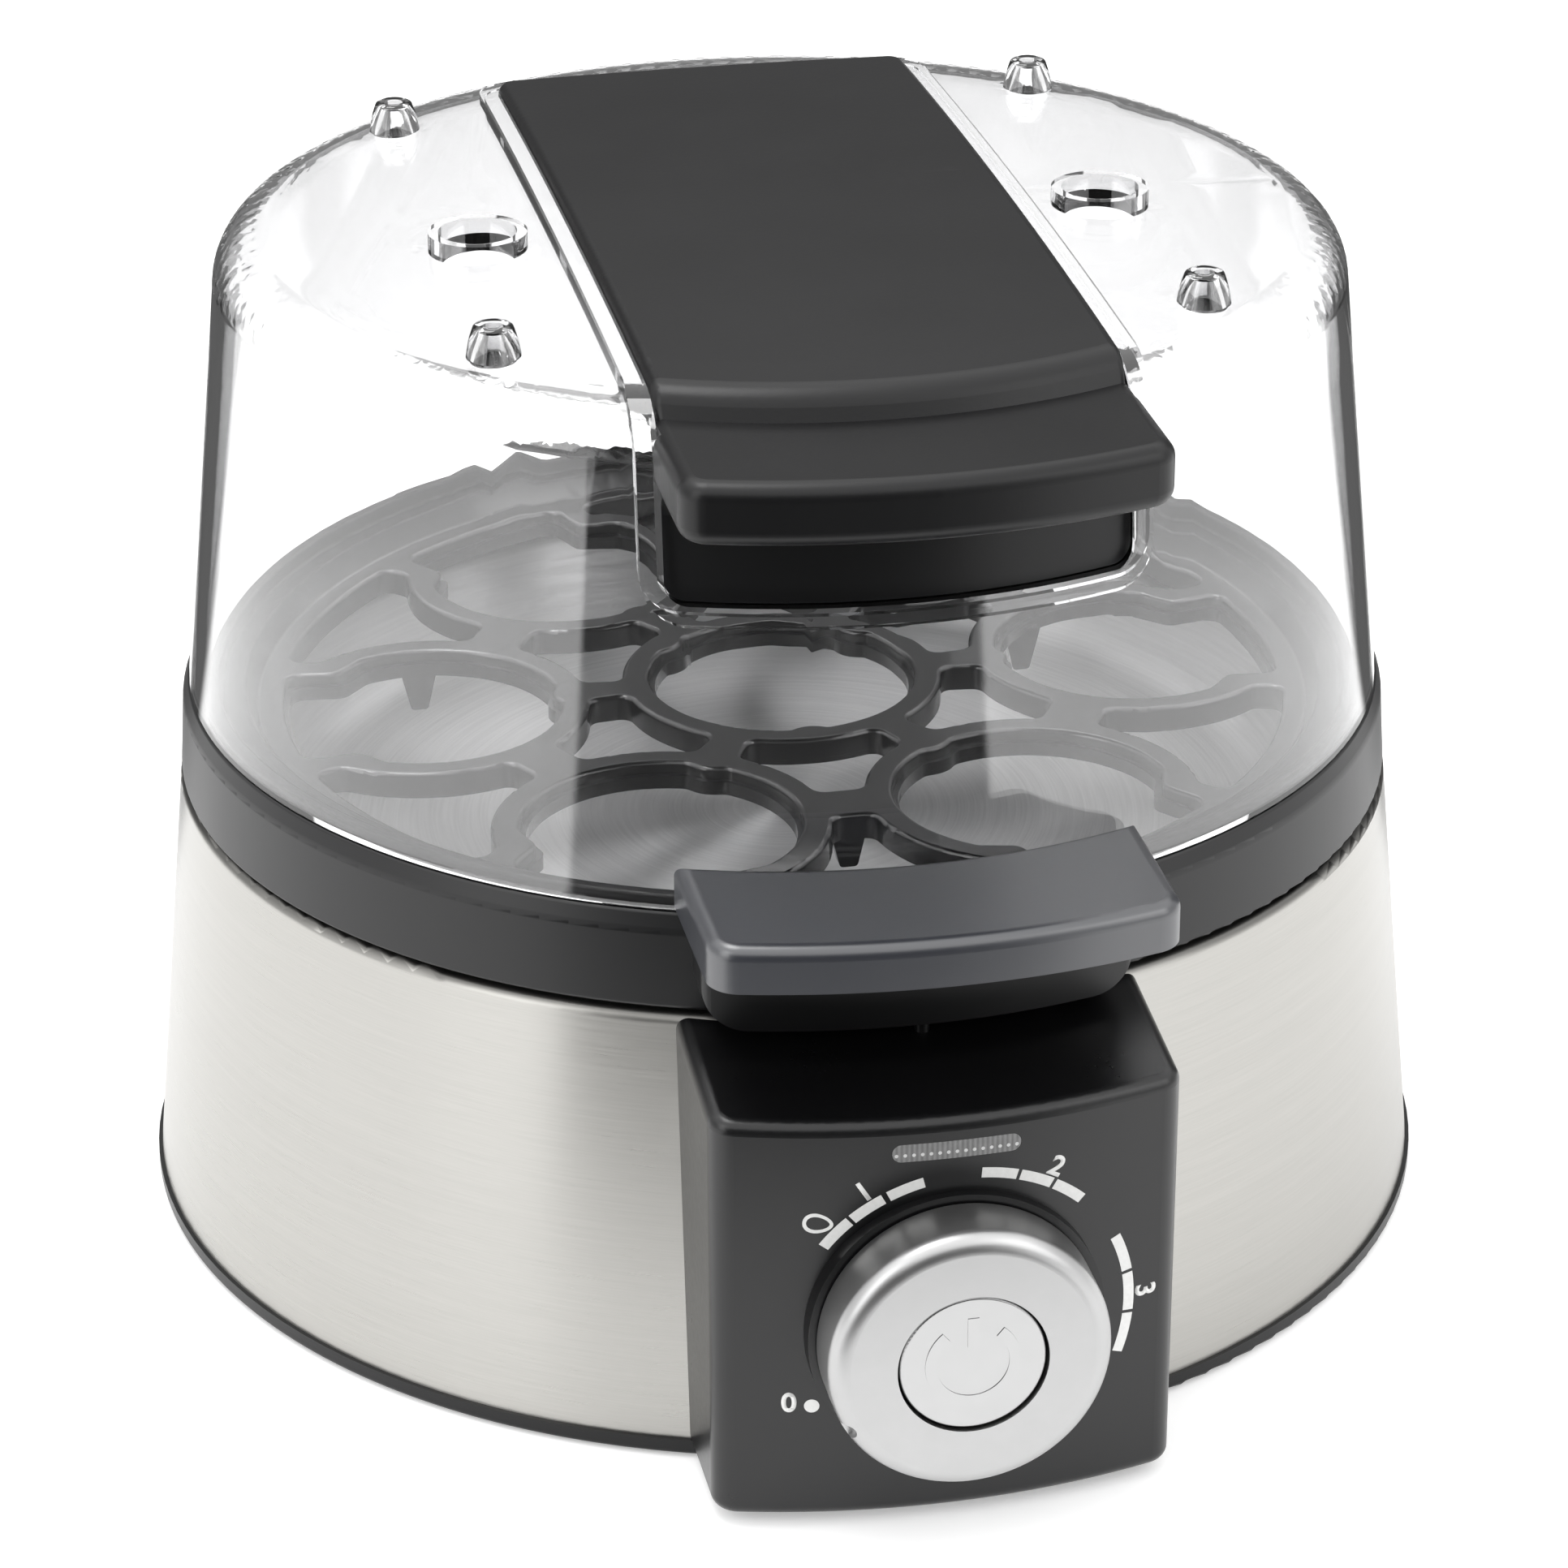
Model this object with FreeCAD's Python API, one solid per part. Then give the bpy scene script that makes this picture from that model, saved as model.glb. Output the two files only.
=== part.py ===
import FreeCAD, Part
import math
import os

# An electric egg boiler for seven eggs, in millimetres.
# The origin is the centre of the foot ring on the table, +Z is up and the control box faces -Y.

# Shares, counts and turns
hex_corner_count = 6
quarter_turn = 90.0
egg_ring_count = 6
pad_count = 4
pillar_count = 3
rib_count = 6
vent_count = 12
full_turn = 360.0
overrun = 1.0

# Running and seating gaps
running_gap = 0.05
seat_gap = 0.3
fit_gap = 0.15

# Base housing and its pads
foot_radius = 100.0
pad_stand = 0.4
pad_radius = 7.0
pad_sink = 1.0
pad_edge_distance = 18.0
pad_circle_radius = foot_radius - pad_edge_distance
pad_first_angle = 45.0
floor_thickness = 2.4
foot_ring_height = 2.5
foot_edge_radius = 0.8
locating_wall = 2.2
locating_height = 8.0
pillar_radius = 4.5
pillar_circle_radius = 64.0
pillar_first_angle = 30.0
floor_rib_thickness = 1.8
floor_rib_height = 5.0
floor_hub_radius = 18.0
floor_hub_wall = 2.0
vent_slot_width = 3.0
vent_slot_length = 16.0
vent_circle_radius = 40.0

# Screws
tie_screw_radius = 2.0
tie_head_radius = 4.0
tie_head_height = 1.4
tie_bore_gap = 0.3
small_screw_radius = 1.4
small_head_radius = 2.7
small_head_height = 1.8
small_screw_length = 7.0

# Steel outer shell
shell_reveal = 0.6
shell_taper = 6.6
shell_height = 65.1
shell_thickness = 0.8
shell_lip_width = 5.2
shell_bend_radius = 1.6
shell_bottom_radius = foot_radius - shell_reveal
shell_top_radius = shell_bottom_radius - shell_taper
shell_lip_radius = shell_top_radius - shell_lip_width
window_half_width = 25.0
window_bottom_rise = 7.7
window_height = 50.0

# Boiling pan and its seal
gasket_thickness = 1.2
gasket_width = 4.2
gasket_edge_distance = 2.4
gasket_outer_radius = shell_top_radius - gasket_edge_distance
gasket_inner_radius = gasket_outer_radius - gasket_width
pan_thickness = 0.8
pan_flange_width = 4.8
pan_flange_inset = 0.6
pan_wall_lean = 8.0
pan_flange_radius = gasket_outer_radius - pan_flange_inset
pan_mouth_radius = pan_flange_radius - pan_flange_width
pan_floor_radius = pan_mouth_radius - pan_wall_lean
pan_depth = 13.6
pan_bend_radius = 7.0
pan_lip_bend_radius = 2.0

# Heater under the pan
spreader_inner_radius = 38.0
spreader_stud_margin = 6.0
spreader_outer_radius = pillar_circle_radius + spreader_stud_margin
spreader_thickness = 2.5
element_pillar_gap = 12.0
element_ring_radius = pillar_circle_radius - element_pillar_gap
element_tube_radius = 3.2
element_sink = 0.6
element_sweep = 316.0
terminal_radius = 1.6
terminal_length = 14.0
terminal_blade_width = 6.3
terminal_blade_thickness = 0.8
terminal_blade_length = 8.0
stud_radius = 3.5
stud_height = 7.5
thermostat_radius = 8.5
thermostat_height = 7.0
thermostat_offset = 14.0
sensor_radius = 3.0
sensor_height = 9.0
sensor_offset = 16.0
fuse_radius = 2.2
fuse_length = 16.0
fuse_offset = 22.0
strap_width = 12.0
strap_thickness = 1.0
strap_end_margin = 8.0
spring_leg_drop = 3.0

# Egg carrier: outer ring
ring_shell_gap = 0.8
ring_height = 14.2
ring_shell_inset = 0.1
ring_lean = 0.8
ring_shoulder_drop = 2.6
ring_shoulder_width = 1.0
ring_bottom_radius = shell_top_radius - ring_shell_inset
ring_shoulder_radius = ring_bottom_radius - ring_lean
ring_top_radius = ring_shoulder_radius - ring_shoulder_width
ring_wall = 1.8
ring_edge_radius = 0.6
ring_shoulder_round = 3.6
upstand_height = 1.6
upstand_width = 2.0
inner_step_width = 3.8
inner_step_drop = 2.2
seat_rib_inset = 1.4
seat_rib_inner_radius = pan_mouth_radius + seat_rib_inset
seat_rib_width = 2.2

# Egg carrier: tray of holes
tray_drop = 4.0
tray_thickness = 4.0
tray_rim_width = 10.5
tray_root_width = 1.4
tray_edge_radius = ring_top_radius - tray_rim_width
tray_root_radius = tray_edge_radius - tray_root_width
egg_hole_radius = 20.4
egg_rim_width = 3.6
egg_circle_radius = tray_root_radius - egg_hole_radius - egg_rim_width
egg_step_width = 0.8
egg_step_depth = 1.9
nub_radius = 5.0
nub_rise = 1.1
centre_nub_angles = (45, 135, 270)
pocket_rim_width = 2.4
pocket_reach_radius = tray_root_radius - pocket_rim_width
pocket_half_width = 14.4
pocket_flare = 1.0
pocket_shoulder = 8.2
pocket_slant = 4.0
web_width = 4.2
small_window_inset = 12.7
small_window_outer_radius = egg_circle_radius - small_window_inset
small_window_half_angle = 23.4
fan_inset = 4.0
fan_inner_radius = egg_circle_radius - fan_inset
fan_rim_width = 2.0
fan_outer_radius = tray_root_radius - fan_rim_width
fan_half_angle = 14.4
window_round = 2.0
hole_round = 2.4
web_edge_round = 0.7
leg_places = ((158.4, 58.0), (21.0, 45.2), (270.0, 46.8))
leg_top_width = 6.0
leg_tip_width = 2.6
leg_tip_round = 0.65
leg_thickness = 2.2
leg_length = 6.0

# Carrier handle
handle_half_width = 32.8
handle_ring_gap = 0.7
handle_reach = 24.7
handle_back_radius = ring_top_radius + handle_ring_gap
handle_front_radius = handle_back_radius + handle_reach
handle_rise = 8.0
handle_thickness = 6.8
handle_wall = 1.8
handle_top_wall = 2.2
handle_round = 2.0
handle_corner_radius = 5.0
block_half_width = 30.6
block_overhang = 17.5
block_front_radius = handle_front_radius - block_overhang
block_drop = 13.8
block_wall = 1.6
block_floor = 2.4
block_corner_radius = 6.0
block_cap_gap = 0.3
handle_screw_offset = 19.0
handle_screw_inset = 3.85
handle_screw_place = block_front_radius - handle_screw_inset
handle_screw_radius = 1.1
handle_head_radius = 2.0
handle_head_height = 1.1
handle_boss_radius = 2.0

# Lid dome
lid_ring_inset = 0.1
lid_taper = 7.5
lid_height = 69.8
lid_bottom_radius = ring_top_radius - lid_ring_inset
lid_top_radius = lid_bottom_radius - lid_taper
lid_corner_radius = 8.1
lid_wall = 2.2
lid_crown = 2.0
cone_offset = 50.5
cone_base_radius = 4.2
cone_tip_radius = 1.9
cone_height = 6.2
vent_offset_x = 46.4
vent_offset_y = -9.0
vent_outer_radius = 7.7
vent_inner_radius = 6.1
vent_height = 3.2

# Lid band with its grip
band_half_width = 32.6
band_back_y = 62.5
band_back_round = 2.5
band_rise = 3.1
band_sink = 1.6
band_roll_inset = 3.5
band_roll_radius = lid_top_radius - band_roll_inset
band_roll_round = 4.5
band_edge_round = 1.5
grip_half_width = 33.6
grip_root_inset = 1.3
grip_root_radius = lid_top_radius - grip_root_inset
grip_step = 4.0
grip_reach = 22.5
grip_front_radius = grip_root_radius + grip_reach
grip_thickness = 9.0
grip_round = 2.4
grip_corner_radius = 4.5
skirt_drop = 15.4
skirt_root = 2.5
frame_width = 3.0
frame_height = 1.6
frame_corner_radius = 3.0
band_screw_offset = 48.0

# Control box
box_half_width = 33.1
box_reach = 17.0
box_front_radius = foot_radius + box_reach
box_bottom = 1.7
box_top_back = 67.1
box_top_front = 64.2
box_wall = 2.4
box_corner_radius = 4.0
box_edge_round = 2.0
box_screw_offset = 28.4
box_screw_low = 17.0
box_screw_high = 56.0
box_boss_radius = 3.0
box_boss_length = 12.0
pin_radius = 1.1
pin_height = 4.2
pin_block_inset = 3.3
pin_place = block_front_radius - pin_block_inset
pin_hole_gap = 0.5
lens_half_width = 9.0
lens_height = 2.7
lens_z = 59.6
lens_flange = 0.9
lens_flange_thickness = 1.0

# Knob, dial and button, stacked along Y in front of the circuit board
dial_z = 32.0
bezel_radius = 21.0
bezel_inner_radius = 15.0
bezel_thickness = 1.2
knob_radius = 19.9
knob_round = 2.7
knob_gap = 0.4
knob_length = 9.4
knob_wall = 1.5
knob_face_thickness = 2.0
knob_start_angle = 208.0
knob_notch_radius = 1.4
hub_thickness = 2.6
hub_face_inset = 1.9
hub_collar_radius = 14.0
hub_collar_wall = 2.0
button_radius = 10.3
button_gap = 0.35
button_thickness = 2.3
button_inset = 0.5
button_travel = 1.5
stem_radius = 2.4
sleeve_wall = 1.15
shaft_wall = 1.6
bushing_wall = 1.9
bushing_reach = 2.6
nut_width = 19.0
nut_thickness = 1.8
sleeve_base_radius = 6.5
sleeve_base_bore = 4.7
sleeve_base_height = 6.0
encoder_half_width = 13.0
encoder_depth = 11.0
encoder_corner_radius = 1.0
switch_half_width = 3.0
switch_height = 3.5
plunger_radius = 1.7
plunger_height = 1.8

# Circuit board
board_face_distance = 16.0
board_front_y = board_face_distance - box_front_radius
board_thickness = 1.6
board_half_width = 24.5
board_bottom = 10.0
board_top = 62.5
board_post_radius = 2.8
board_post_offset = 21.0
board_post_low = 14.0
board_post_high = 52.0
led_radius = 1.5
led_length = 8.5
led_spacing = 6.0
relay_size = (19.0, 10.0, 15.0)
relay_place = (-7.0, 42.0)
capacitor_radius = 4.0
capacitor_length = 9.0
capacitor_place = (18.0, 30.0)
buzzer_radius = 5.0
buzzer_height = 6.0
buzzer_place = (-18.0, 33.0)
terminal_block_size = (20.0, 8.0, 9.0)
terminal_block_place = (6.0, 18.0)

# Cord inlet at the rear
gland_z = 23.0
gland_bore_radius = 3.4
gland_neck_radius = 5.5
gland_flange_radius = 8.5
gland_flange_thickness = 2.0
gland_inner_length = 5.0

# Heights that follow from the sizes above
housing_bottom_z = pad_stand
floor_top_z = housing_bottom_z + floor_thickness
shell_bottom_z = housing_bottom_z + foot_ring_height
shell_top_z = shell_bottom_z + shell_height
flange_bottom_z = shell_top_z + gasket_thickness
flange_top_z = flange_bottom_z + pan_thickness
pan_floor_z = flange_top_z - pan_depth
pan_under_z = pan_floor_z - pan_thickness
spreader_bottom_z = pan_under_z - spreader_thickness
pillar_top_z = spreader_bottom_z - stud_height
ring_bottom_z = shell_top_z + ring_shell_gap
ring_top_z = ring_bottom_z + ring_height
tray_top_z = ring_top_z - tray_drop
tray_bottom_z = tray_top_z - tray_thickness
handle_top_z = ring_top_z + handle_rise
handle_bottom_z = handle_top_z - handle_thickness
block_bottom_z = ring_top_z - block_drop
lid_bottom_z = ring_top_z + seat_gap
lid_top_z = lid_bottom_z + lid_height
band_top_z = lid_top_z + band_rise
grip_top_z = band_top_z - grip_step
grip_bottom_z = grip_top_z - grip_thickness
skirt_bottom_z = grip_bottom_z - skirt_drop
box_face_y = -box_front_radius
bezel_front_y = box_face_y - bezel_thickness
knob_base_y = bezel_front_y - knob_gap
knob_front_y = knob_base_y - knob_length
button_front_y = knob_front_y + button_inset
button_back_y = button_front_y + button_thickness
hub_front_y = knob_base_y - hub_face_inset - hub_thickness
hub_back_y = hub_front_y + hub_thickness
sleeve_base_y = board_front_y - sleeve_base_height
switch_top_y = board_front_y - switch_height
plunger_top_y = switch_top_y - plunger_height
sleeve_radius = stem_radius + running_gap + sleeve_wall
shaft_bore_radius = sleeve_radius + running_gap
shaft_radius = shaft_bore_radius + shaft_wall
bushing_bore_radius = shaft_radius + running_gap
bushing_radius = bushing_bore_radius + bushing_wall
encoder_front_y = board_front_y - encoder_depth
bushing_front_y = box_face_y - bushing_reach
sleeve_front_y = hub_front_y
egg_step = full_turn / egg_ring_count
lid_slope_share = (lid_bottom_radius - lid_top_radius) / lid_height
upstand_top_z = ring_top_z + upstand_height
upstand_radius = lid_bottom_radius - lid_slope_share * upstand_height - lid_wall - seat_gap


def vector(x, y, z):
    return FreeCAD.Vector(x, y, z)


Z_AXIS = vector(0, 0, 1)
Y_AXIS = vector(0, 1, 0)
ORIGIN = vector(0, 0, 0)


def polar(radius, angle, z=0.0):
    turn = math.radians(angle)
    return vector(radius * math.cos(turn), radius * math.sin(turn), z)


def rounded_edges(corners, closed=True):
    """Lines and arcs through corners (u, v, rounding), in the XY plane."""
    count = len(corners)
    entries = []
    for i, (u, v, rounding) in enumerate(corners):
        here = vector(u, v, 0)
        inside = closed or 0 < i < count - 1
        if not rounding or not inside:
            entries.append((here, None, here))
            continue
        before = vector(*corners[i - 1][:2], 0) - here
        after = vector(*corners[(i + 1) % count][:2], 0) - here
        before.normalize()
        after.normalize()
        turn = before.getAngle(after) / 2
        bisector = before + after
        bisector.normalize()
        cut = rounding / math.tan(turn)
        centre = here + bisector * (rounding / math.sin(turn))
        middle = centre - bisector * rounding
        entries.append((here + before * cut, middle, here + after * cut))
    edges = []
    for i, (first, middle, last) in enumerate(entries):
        if middle is not None:
            edges.append(Part.Arc(first, middle, last).toShape())
        if i == count - 1 and not closed:
            break
        following = entries[(i + 1) % count][0]
        if last.distanceToPoint(following) > Part.Precision.confusion():
            edges.append(Part.LineSegment(last, following).toShape())
    return edges


def standing(shape):
    """Turns a drawing from the XY plane into the XZ plane."""
    shape.rotate(ORIGIN, vector(1, 0, 0), quarter_turn)
    return shape


def revolved(corners):
    """Solid of revolution about Z of a closed outline of (radius, z, rounding)."""
    face = Part.Face(Part.Wire(rounded_edges(corners)))
    return standing(face).revolve(ORIGIN, Z_AXIS, full_turn)


def revolved_sheet(path, thickness):
    """Sheet of even thickness along an open path of (radius, z, rounding)."""
    wire = Part.Wire(rounded_edges(path, closed=False))
    face = wire.makeOffset2D(thickness, 0, True, True, False)
    return standing(face).revolve(ORIGIN, Z_AXIS, full_turn)


def prism(corners, bottom, top):
    """Upright prism of an outline of (x, y, rounding) between two heights."""
    face = Part.Face(Part.Wire(rounded_edges(corners)))
    face.translate(vector(0, 0, bottom))
    return face.extrude(vector(0, 0, top - bottom))


def box_between(low, high):
    size = vector(*high) - vector(*low)
    return Part.makeBox(size.x, size.y, size.z, vector(*low))


def front_prism(corners, back_y, front_y):
    """Prism along Y of an outline of (x, z, rounding) between two depths."""
    face = standing(Part.Face(Part.Wire(rounded_edges(corners))))
    face.translate(vector(0, back_y, 0))
    return face.extrude(vector(0, front_y - back_y, 0))


def upright(radius, bottom, top, place=ORIGIN):
    return Part.makeCylinder(radius, top - bottom, place + vector(0, 0, bottom), Z_AXIS)


def level(radius, back_y, front_y, x=0.0, z=0.0):
    """Cylinder along Y between two depths."""
    low = min(back_y, front_y)
    return Part.makeCylinder(radius, abs(front_y - back_y), vector(x, low, z), Y_AXIS)


def patterned(shape, count, first_angle=0.0):
    """Copies of a shape spread evenly about Z."""
    copies = []
    for i in range(count):
        copy = shape.copy()
        copy.rotate(ORIGIN, Z_AXIS, first_angle + i * full_turn / count)
        copies.append(copy)
    return copies


def rounded_where(shape, radius, chosen):
    """Rounds the edges that a test picks."""
    edges = [edge for edge in shape.Edges if chosen(edge)]
    return shape.makeFillet(radius, edges)


def group(shapes):
    return Part.makeCompound(shapes)


def shell_radius(z):
    """Outer radius of the steel shell at a height."""
    share = (z - shell_bottom_z) / shell_height
    return shell_bottom_radius + (shell_top_radius - shell_bottom_radius) * share


def shell_solid(inset):
    """The space inside the steel shell's outer face, shrunk by an inset."""
    corners = (
        (0, shell_bottom_z - overrun, 0),
        (shell_radius(shell_bottom_z - overrun) - inset, shell_bottom_z - overrun, 0),
        (shell_radius(shell_top_z + overrun) - inset, shell_top_z + overrun, 0),
        (0, shell_top_z + overrun, 0),
    )
    return revolved(corners)


# Base housing


def bottom_housing():
    low_wall = shell_radius(shell_bottom_z) - shell_thickness - fit_gap
    wall_top_z = shell_bottom_z + locating_height
    high_wall = shell_radius(wall_top_z) - shell_thickness - fit_gap
    body = revolved((
        (0, housing_bottom_z, 0),
        (foot_radius, housing_bottom_z, foot_edge_radius),
        (foot_radius, shell_bottom_z, 0),
        (low_wall, shell_bottom_z, 0),
        (high_wall, wall_top_z, 0),
        (high_wall - locating_wall, wall_top_z, 0),
        (high_wall - locating_wall, floor_top_z, 0),
        (0, floor_top_z, 0),
    ))
    pillar = upright(pillar_radius, floor_top_z - overrun, pillar_top_z, polar(pillar_circle_radius, 0))
    rib_end = high_wall - locating_wall + overrun / 2
    rib = box_between(
        (floor_hub_radius, -floor_rib_thickness / 2, floor_top_z - overrun),
        (rib_end, floor_rib_thickness / 2, floor_top_z + floor_rib_height),
    )
    hub_top_z = floor_top_z + floor_rib_height
    hub = upright(floor_hub_radius + floor_hub_wall, floor_top_z - overrun, hub_top_z)
    hub = hub.cut(upright(floor_hub_radius, floor_top_z - overrun, hub_top_z + overrun))
    body = body.fuse([hub] + patterned(rib, rib_count, pillar_first_angle)
                     + patterned(pillar, pillar_count, pillar_first_angle))
    pad_pocket = upright(pad_radius + running_gap, housing_bottom_z - overrun,
                         housing_bottom_z + pad_sink, polar(pad_circle_radius, 0))
    bore = upright(tie_screw_radius + tie_bore_gap, housing_bottom_z - overrun,
                   pillar_top_z + overrun, polar(pillar_circle_radius, 0))
    head_pocket = upright(tie_head_radius + tie_bore_gap, housing_bottom_z - overrun,
                          housing_bottom_z + tie_head_height, polar(pillar_circle_radius, 0))
    slot_end = vent_slot_width / 2
    slot = prism((
        (vent_circle_radius, -slot_end, slot_end - running_gap),
        (vent_circle_radius + vent_slot_length, -slot_end, slot_end - running_gap),
        (vent_circle_radius + vent_slot_length, slot_end, slot_end - running_gap),
        (vent_circle_radius, slot_end, slot_end - running_gap),
    ), housing_bottom_z - overrun, floor_top_z + overrun)
    vent_first_angle = full_turn / vent_count / 2
    cuts = patterned(pad_pocket, pad_count, pad_first_angle)
    cuts += patterned(bore.fuse(head_pocket), pillar_count, pillar_first_angle)
    cuts += patterned(slot, vent_count, vent_first_angle)
    return body.cut(cuts).removeSplitter()


def foot_pads():
    pad = upright(pad_radius, 0, housing_bottom_z + pad_sink, polar(pad_circle_radius, 0))
    return group(patterned(pad, pad_count, pad_first_angle))


def tie_screws():
    """Long screws that draw the pan's studs down onto the pillars."""
    place = polar(pillar_circle_radius, 0)
    head = upright(tie_head_radius, housing_bottom_z, housing_bottom_z + tie_head_height, place)
    shank_top_z = (pillar_top_z + spreader_bottom_z) / 2
    screw = head.fuse(upright(tie_screw_radius, housing_bottom_z, shank_top_z, place))
    return group(patterned(screw, pillar_count, pillar_first_angle))


def outer_shell():
    inner_bottom = shell_bottom_radius - shell_thickness
    inner_top = shell_radius(shell_top_z - shell_thickness) - shell_thickness
    body = revolved((
        (shell_bottom_radius, shell_bottom_z, 0),
        (shell_top_radius, shell_top_z, shell_bend_radius),
        (shell_lip_radius, shell_top_z, 0),
        (shell_lip_radius, shell_top_z - shell_thickness, 0),
        (inner_top, shell_top_z - shell_thickness, shell_bend_radius - shell_thickness),
        (inner_bottom, shell_bottom_z, 0),
    ))
    window_bottom_z = shell_bottom_z + window_bottom_rise
    window = box_between(
        (-window_half_width, -foot_radius, window_bottom_z),
        (window_half_width, 0, window_bottom_z + window_height),
    )
    holes = [level(small_screw_radius + fit_gap, -foot_radius, 0, x, z) for x, z in box_screw_places()]
    cord_hole = level(gland_neck_radius + running_gap, 0, foot_radius, 0, gland_z)
    return body.cut([window, cord_hole] + holes)


# Boiling pan and heater


def pan_gasket():
    return revolved((
        (gasket_inner_radius, shell_top_z, 0),
        (gasket_outer_radius, shell_top_z, 0),
        (gasket_outer_radius, flange_bottom_z, 0),
        (gasket_inner_radius, flange_bottom_z, 0),
    ))


def boiling_pan():
    return revolved_sheet((
        (pan_flange_radius, flange_top_z, 0),
        (pan_mouth_radius, flange_top_z, pan_lip_bend_radius),
        (pan_floor_radius, pan_floor_z, pan_bend_radius),
        (0, pan_floor_z, 0),
    ), -pan_thickness)


def element_centre_z():
    return spreader_bottom_z + element_sink - element_tube_radius


def element_tube():
    """The bent tube of the heater, open towards the rear."""
    gap_angle = full_turn - element_sweep
    start = polar(element_ring_radius, quarter_turn + gap_angle / 2, element_centre_z())
    circle = Part.makeCircle(element_tube_radius, start, polar(1, 2 * quarter_turn + gap_angle / 2))
    face = Part.Face(Part.Wire(circle))
    return face.revolve(ORIGIN, Z_AXIS, element_sweep)


def heat_spreader():
    body = revolved((
        (spreader_inner_radius, spreader_bottom_z, 0),
        (spreader_outer_radius, spreader_bottom_z, 0),
        (spreader_outer_radius, pan_under_z, 0),
        (spreader_inner_radius, pan_under_z, 0),
    ))
    return body.cut(element_tube())


def terminal_ends():
    """Places and headings of the two cold ends of the element."""
    gap_angle = full_turn - element_sweep
    ends = []
    for side in (-1, 1):
        angle = quarter_turn - side * gap_angle / 2
        heading = polar(1, angle + side * quarter_turn)
        ends.append((polar(element_ring_radius, angle, element_centre_z()), heading))
    return ends


def element_terminals():
    pins = []
    for place, heading in terminal_ends():
        pin = Part.makeCylinder(terminal_radius, terminal_length, place, heading)
        pin_end = place + heading * terminal_length
        blade = box_between(
            (-terminal_blade_width / 2, -terminal_blade_thickness / 2, -terminal_blade_length),
            (terminal_blade_width / 2, terminal_blade_thickness / 2, terminal_radius),
        )
        blade.rotate(ORIGIN, Z_AXIS, math.degrees(math.atan2(heading.y, heading.x)) - quarter_turn)
        blade.translate(pin_end - heading * (terminal_blade_thickness / 2))
        pins.append(pin.fuse(blade))
    return group(pins)


def pan_studs():
    stud = upright(stud_radius, pillar_top_z, spreader_bottom_z, polar(pillar_circle_radius, 0))
    shank_top_z = (pillar_top_z + spreader_bottom_z) / 2
    thread = upright(tie_screw_radius, pillar_top_z - overrun, shank_top_z, polar(pillar_circle_radius, 0))
    return group(patterned(stud.cut(thread), pillar_count, pillar_first_angle))


def thermostat():
    return upright(thermostat_radius, pan_under_z - thermostat_height, pan_under_z,
                   vector(thermostat_offset, 0, 0))


def temperature_sensor():
    return upright(sensor_radius, pan_under_z - sensor_height, pan_under_z, vector(-sensor_offset, 0, 0))


def thermal_fuse():
    body = level(fuse_radius, -fuse_length / 2, fuse_length / 2)
    body.rotate(ORIGIN, Z_AXIS, quarter_turn)
    body.translate(vector(0, fuse_offset, pan_under_z - fuse_radius))
    return body


def sensor_strap():
    """Spring strap across the spreader that presses the sensing parts up against the pan."""
    reach = spreader_inner_radius + strap_end_margin
    low_z = pan_under_z - sensor_height - strap_thickness
    high_z = pan_under_z - thermostat_height - strap_thickness
    bend = strap_thickness
    path = (
        (-reach, spreader_bottom_z - strap_thickness, 0),
        (-spreader_inner_radius + spring_leg_drop, spreader_bottom_z - strap_thickness, bend),
        (-sensor_offset - sensor_radius - spring_leg_drop, low_z, bend),
        (0, low_z, bend),
        (spring_leg_drop, high_z, bend),
        (thermostat_offset + thermostat_radius + bend, high_z, bend),
        (spreader_inner_radius - spring_leg_drop, spreader_bottom_z - strap_thickness, bend),
        (reach, spreader_bottom_z - strap_thickness, 0),
    )
    wire = Part.Wire(rounded_edges(path, closed=False))
    face = standing(wire.makeOffset2D(-strap_thickness, 0, True, True, False))
    face.translate(vector(0, strap_width / 2, 0))
    return face.extrude(vector(0, -strap_width, 0))


def cord_gland():
    """Rubber grommet where the mains cord enters the rear of the shell."""
    outside_y = shell_radius(gland_z)
    inside_y = outside_y - shell_thickness
    flange = level(gland_flange_radius, inside_y - overrun, outside_y + gland_flange_thickness, 0, gland_z)
    flange = flange.cut(shell_solid(0))
    collar = level(gland_flange_radius, inside_y - gland_inner_length, outside_y, 0, gland_z)
    collar = collar.common(shell_solid(shell_thickness))
    neck_start = inside_y - gland_inner_length
    neck_end = outside_y + gland_flange_thickness
    neck = level(gland_neck_radius, neck_start, neck_end, 0, gland_z)
    bore = level(gland_bore_radius, neck_start - overrun, neck_end + overrun, 0, gland_z)
    return flange.fuse([collar, neck]).cut(bore).removeSplitter()


# Egg carrier


def rounded_face(face, rounding):
    """Rounds the outward corners of a flat face, then its inward ones."""
    face = face.makeOffset2D(-rounding).makeOffset2D(2 * rounding)
    return face.makeOffset2D(-rounding)


def disc(radius, place=ORIGIN):
    return Part.Face(Part.Wire(Part.makeCircle(radius, place)))


def sector(inner_radius, outer_radius, half_angle):
    """Flat piece of a ring, centred on +X."""
    low = polar(1, -half_angle)
    high = polar(1, half_angle)
    edges = [
        Part.LineSegment(low * inner_radius, low * outer_radius).toShape(),
        Part.Arc(low * outer_radius, vector(outer_radius, 0, 0), high * outer_radius).toShape(),
        Part.LineSegment(high * outer_radius, high * inner_radius).toShape(),
        Part.Arc(high * inner_radius, vector(inner_radius, 0, 0), low * inner_radius).toShape(),
    ]
    return Part.Face(Part.Wire(edges))


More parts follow.
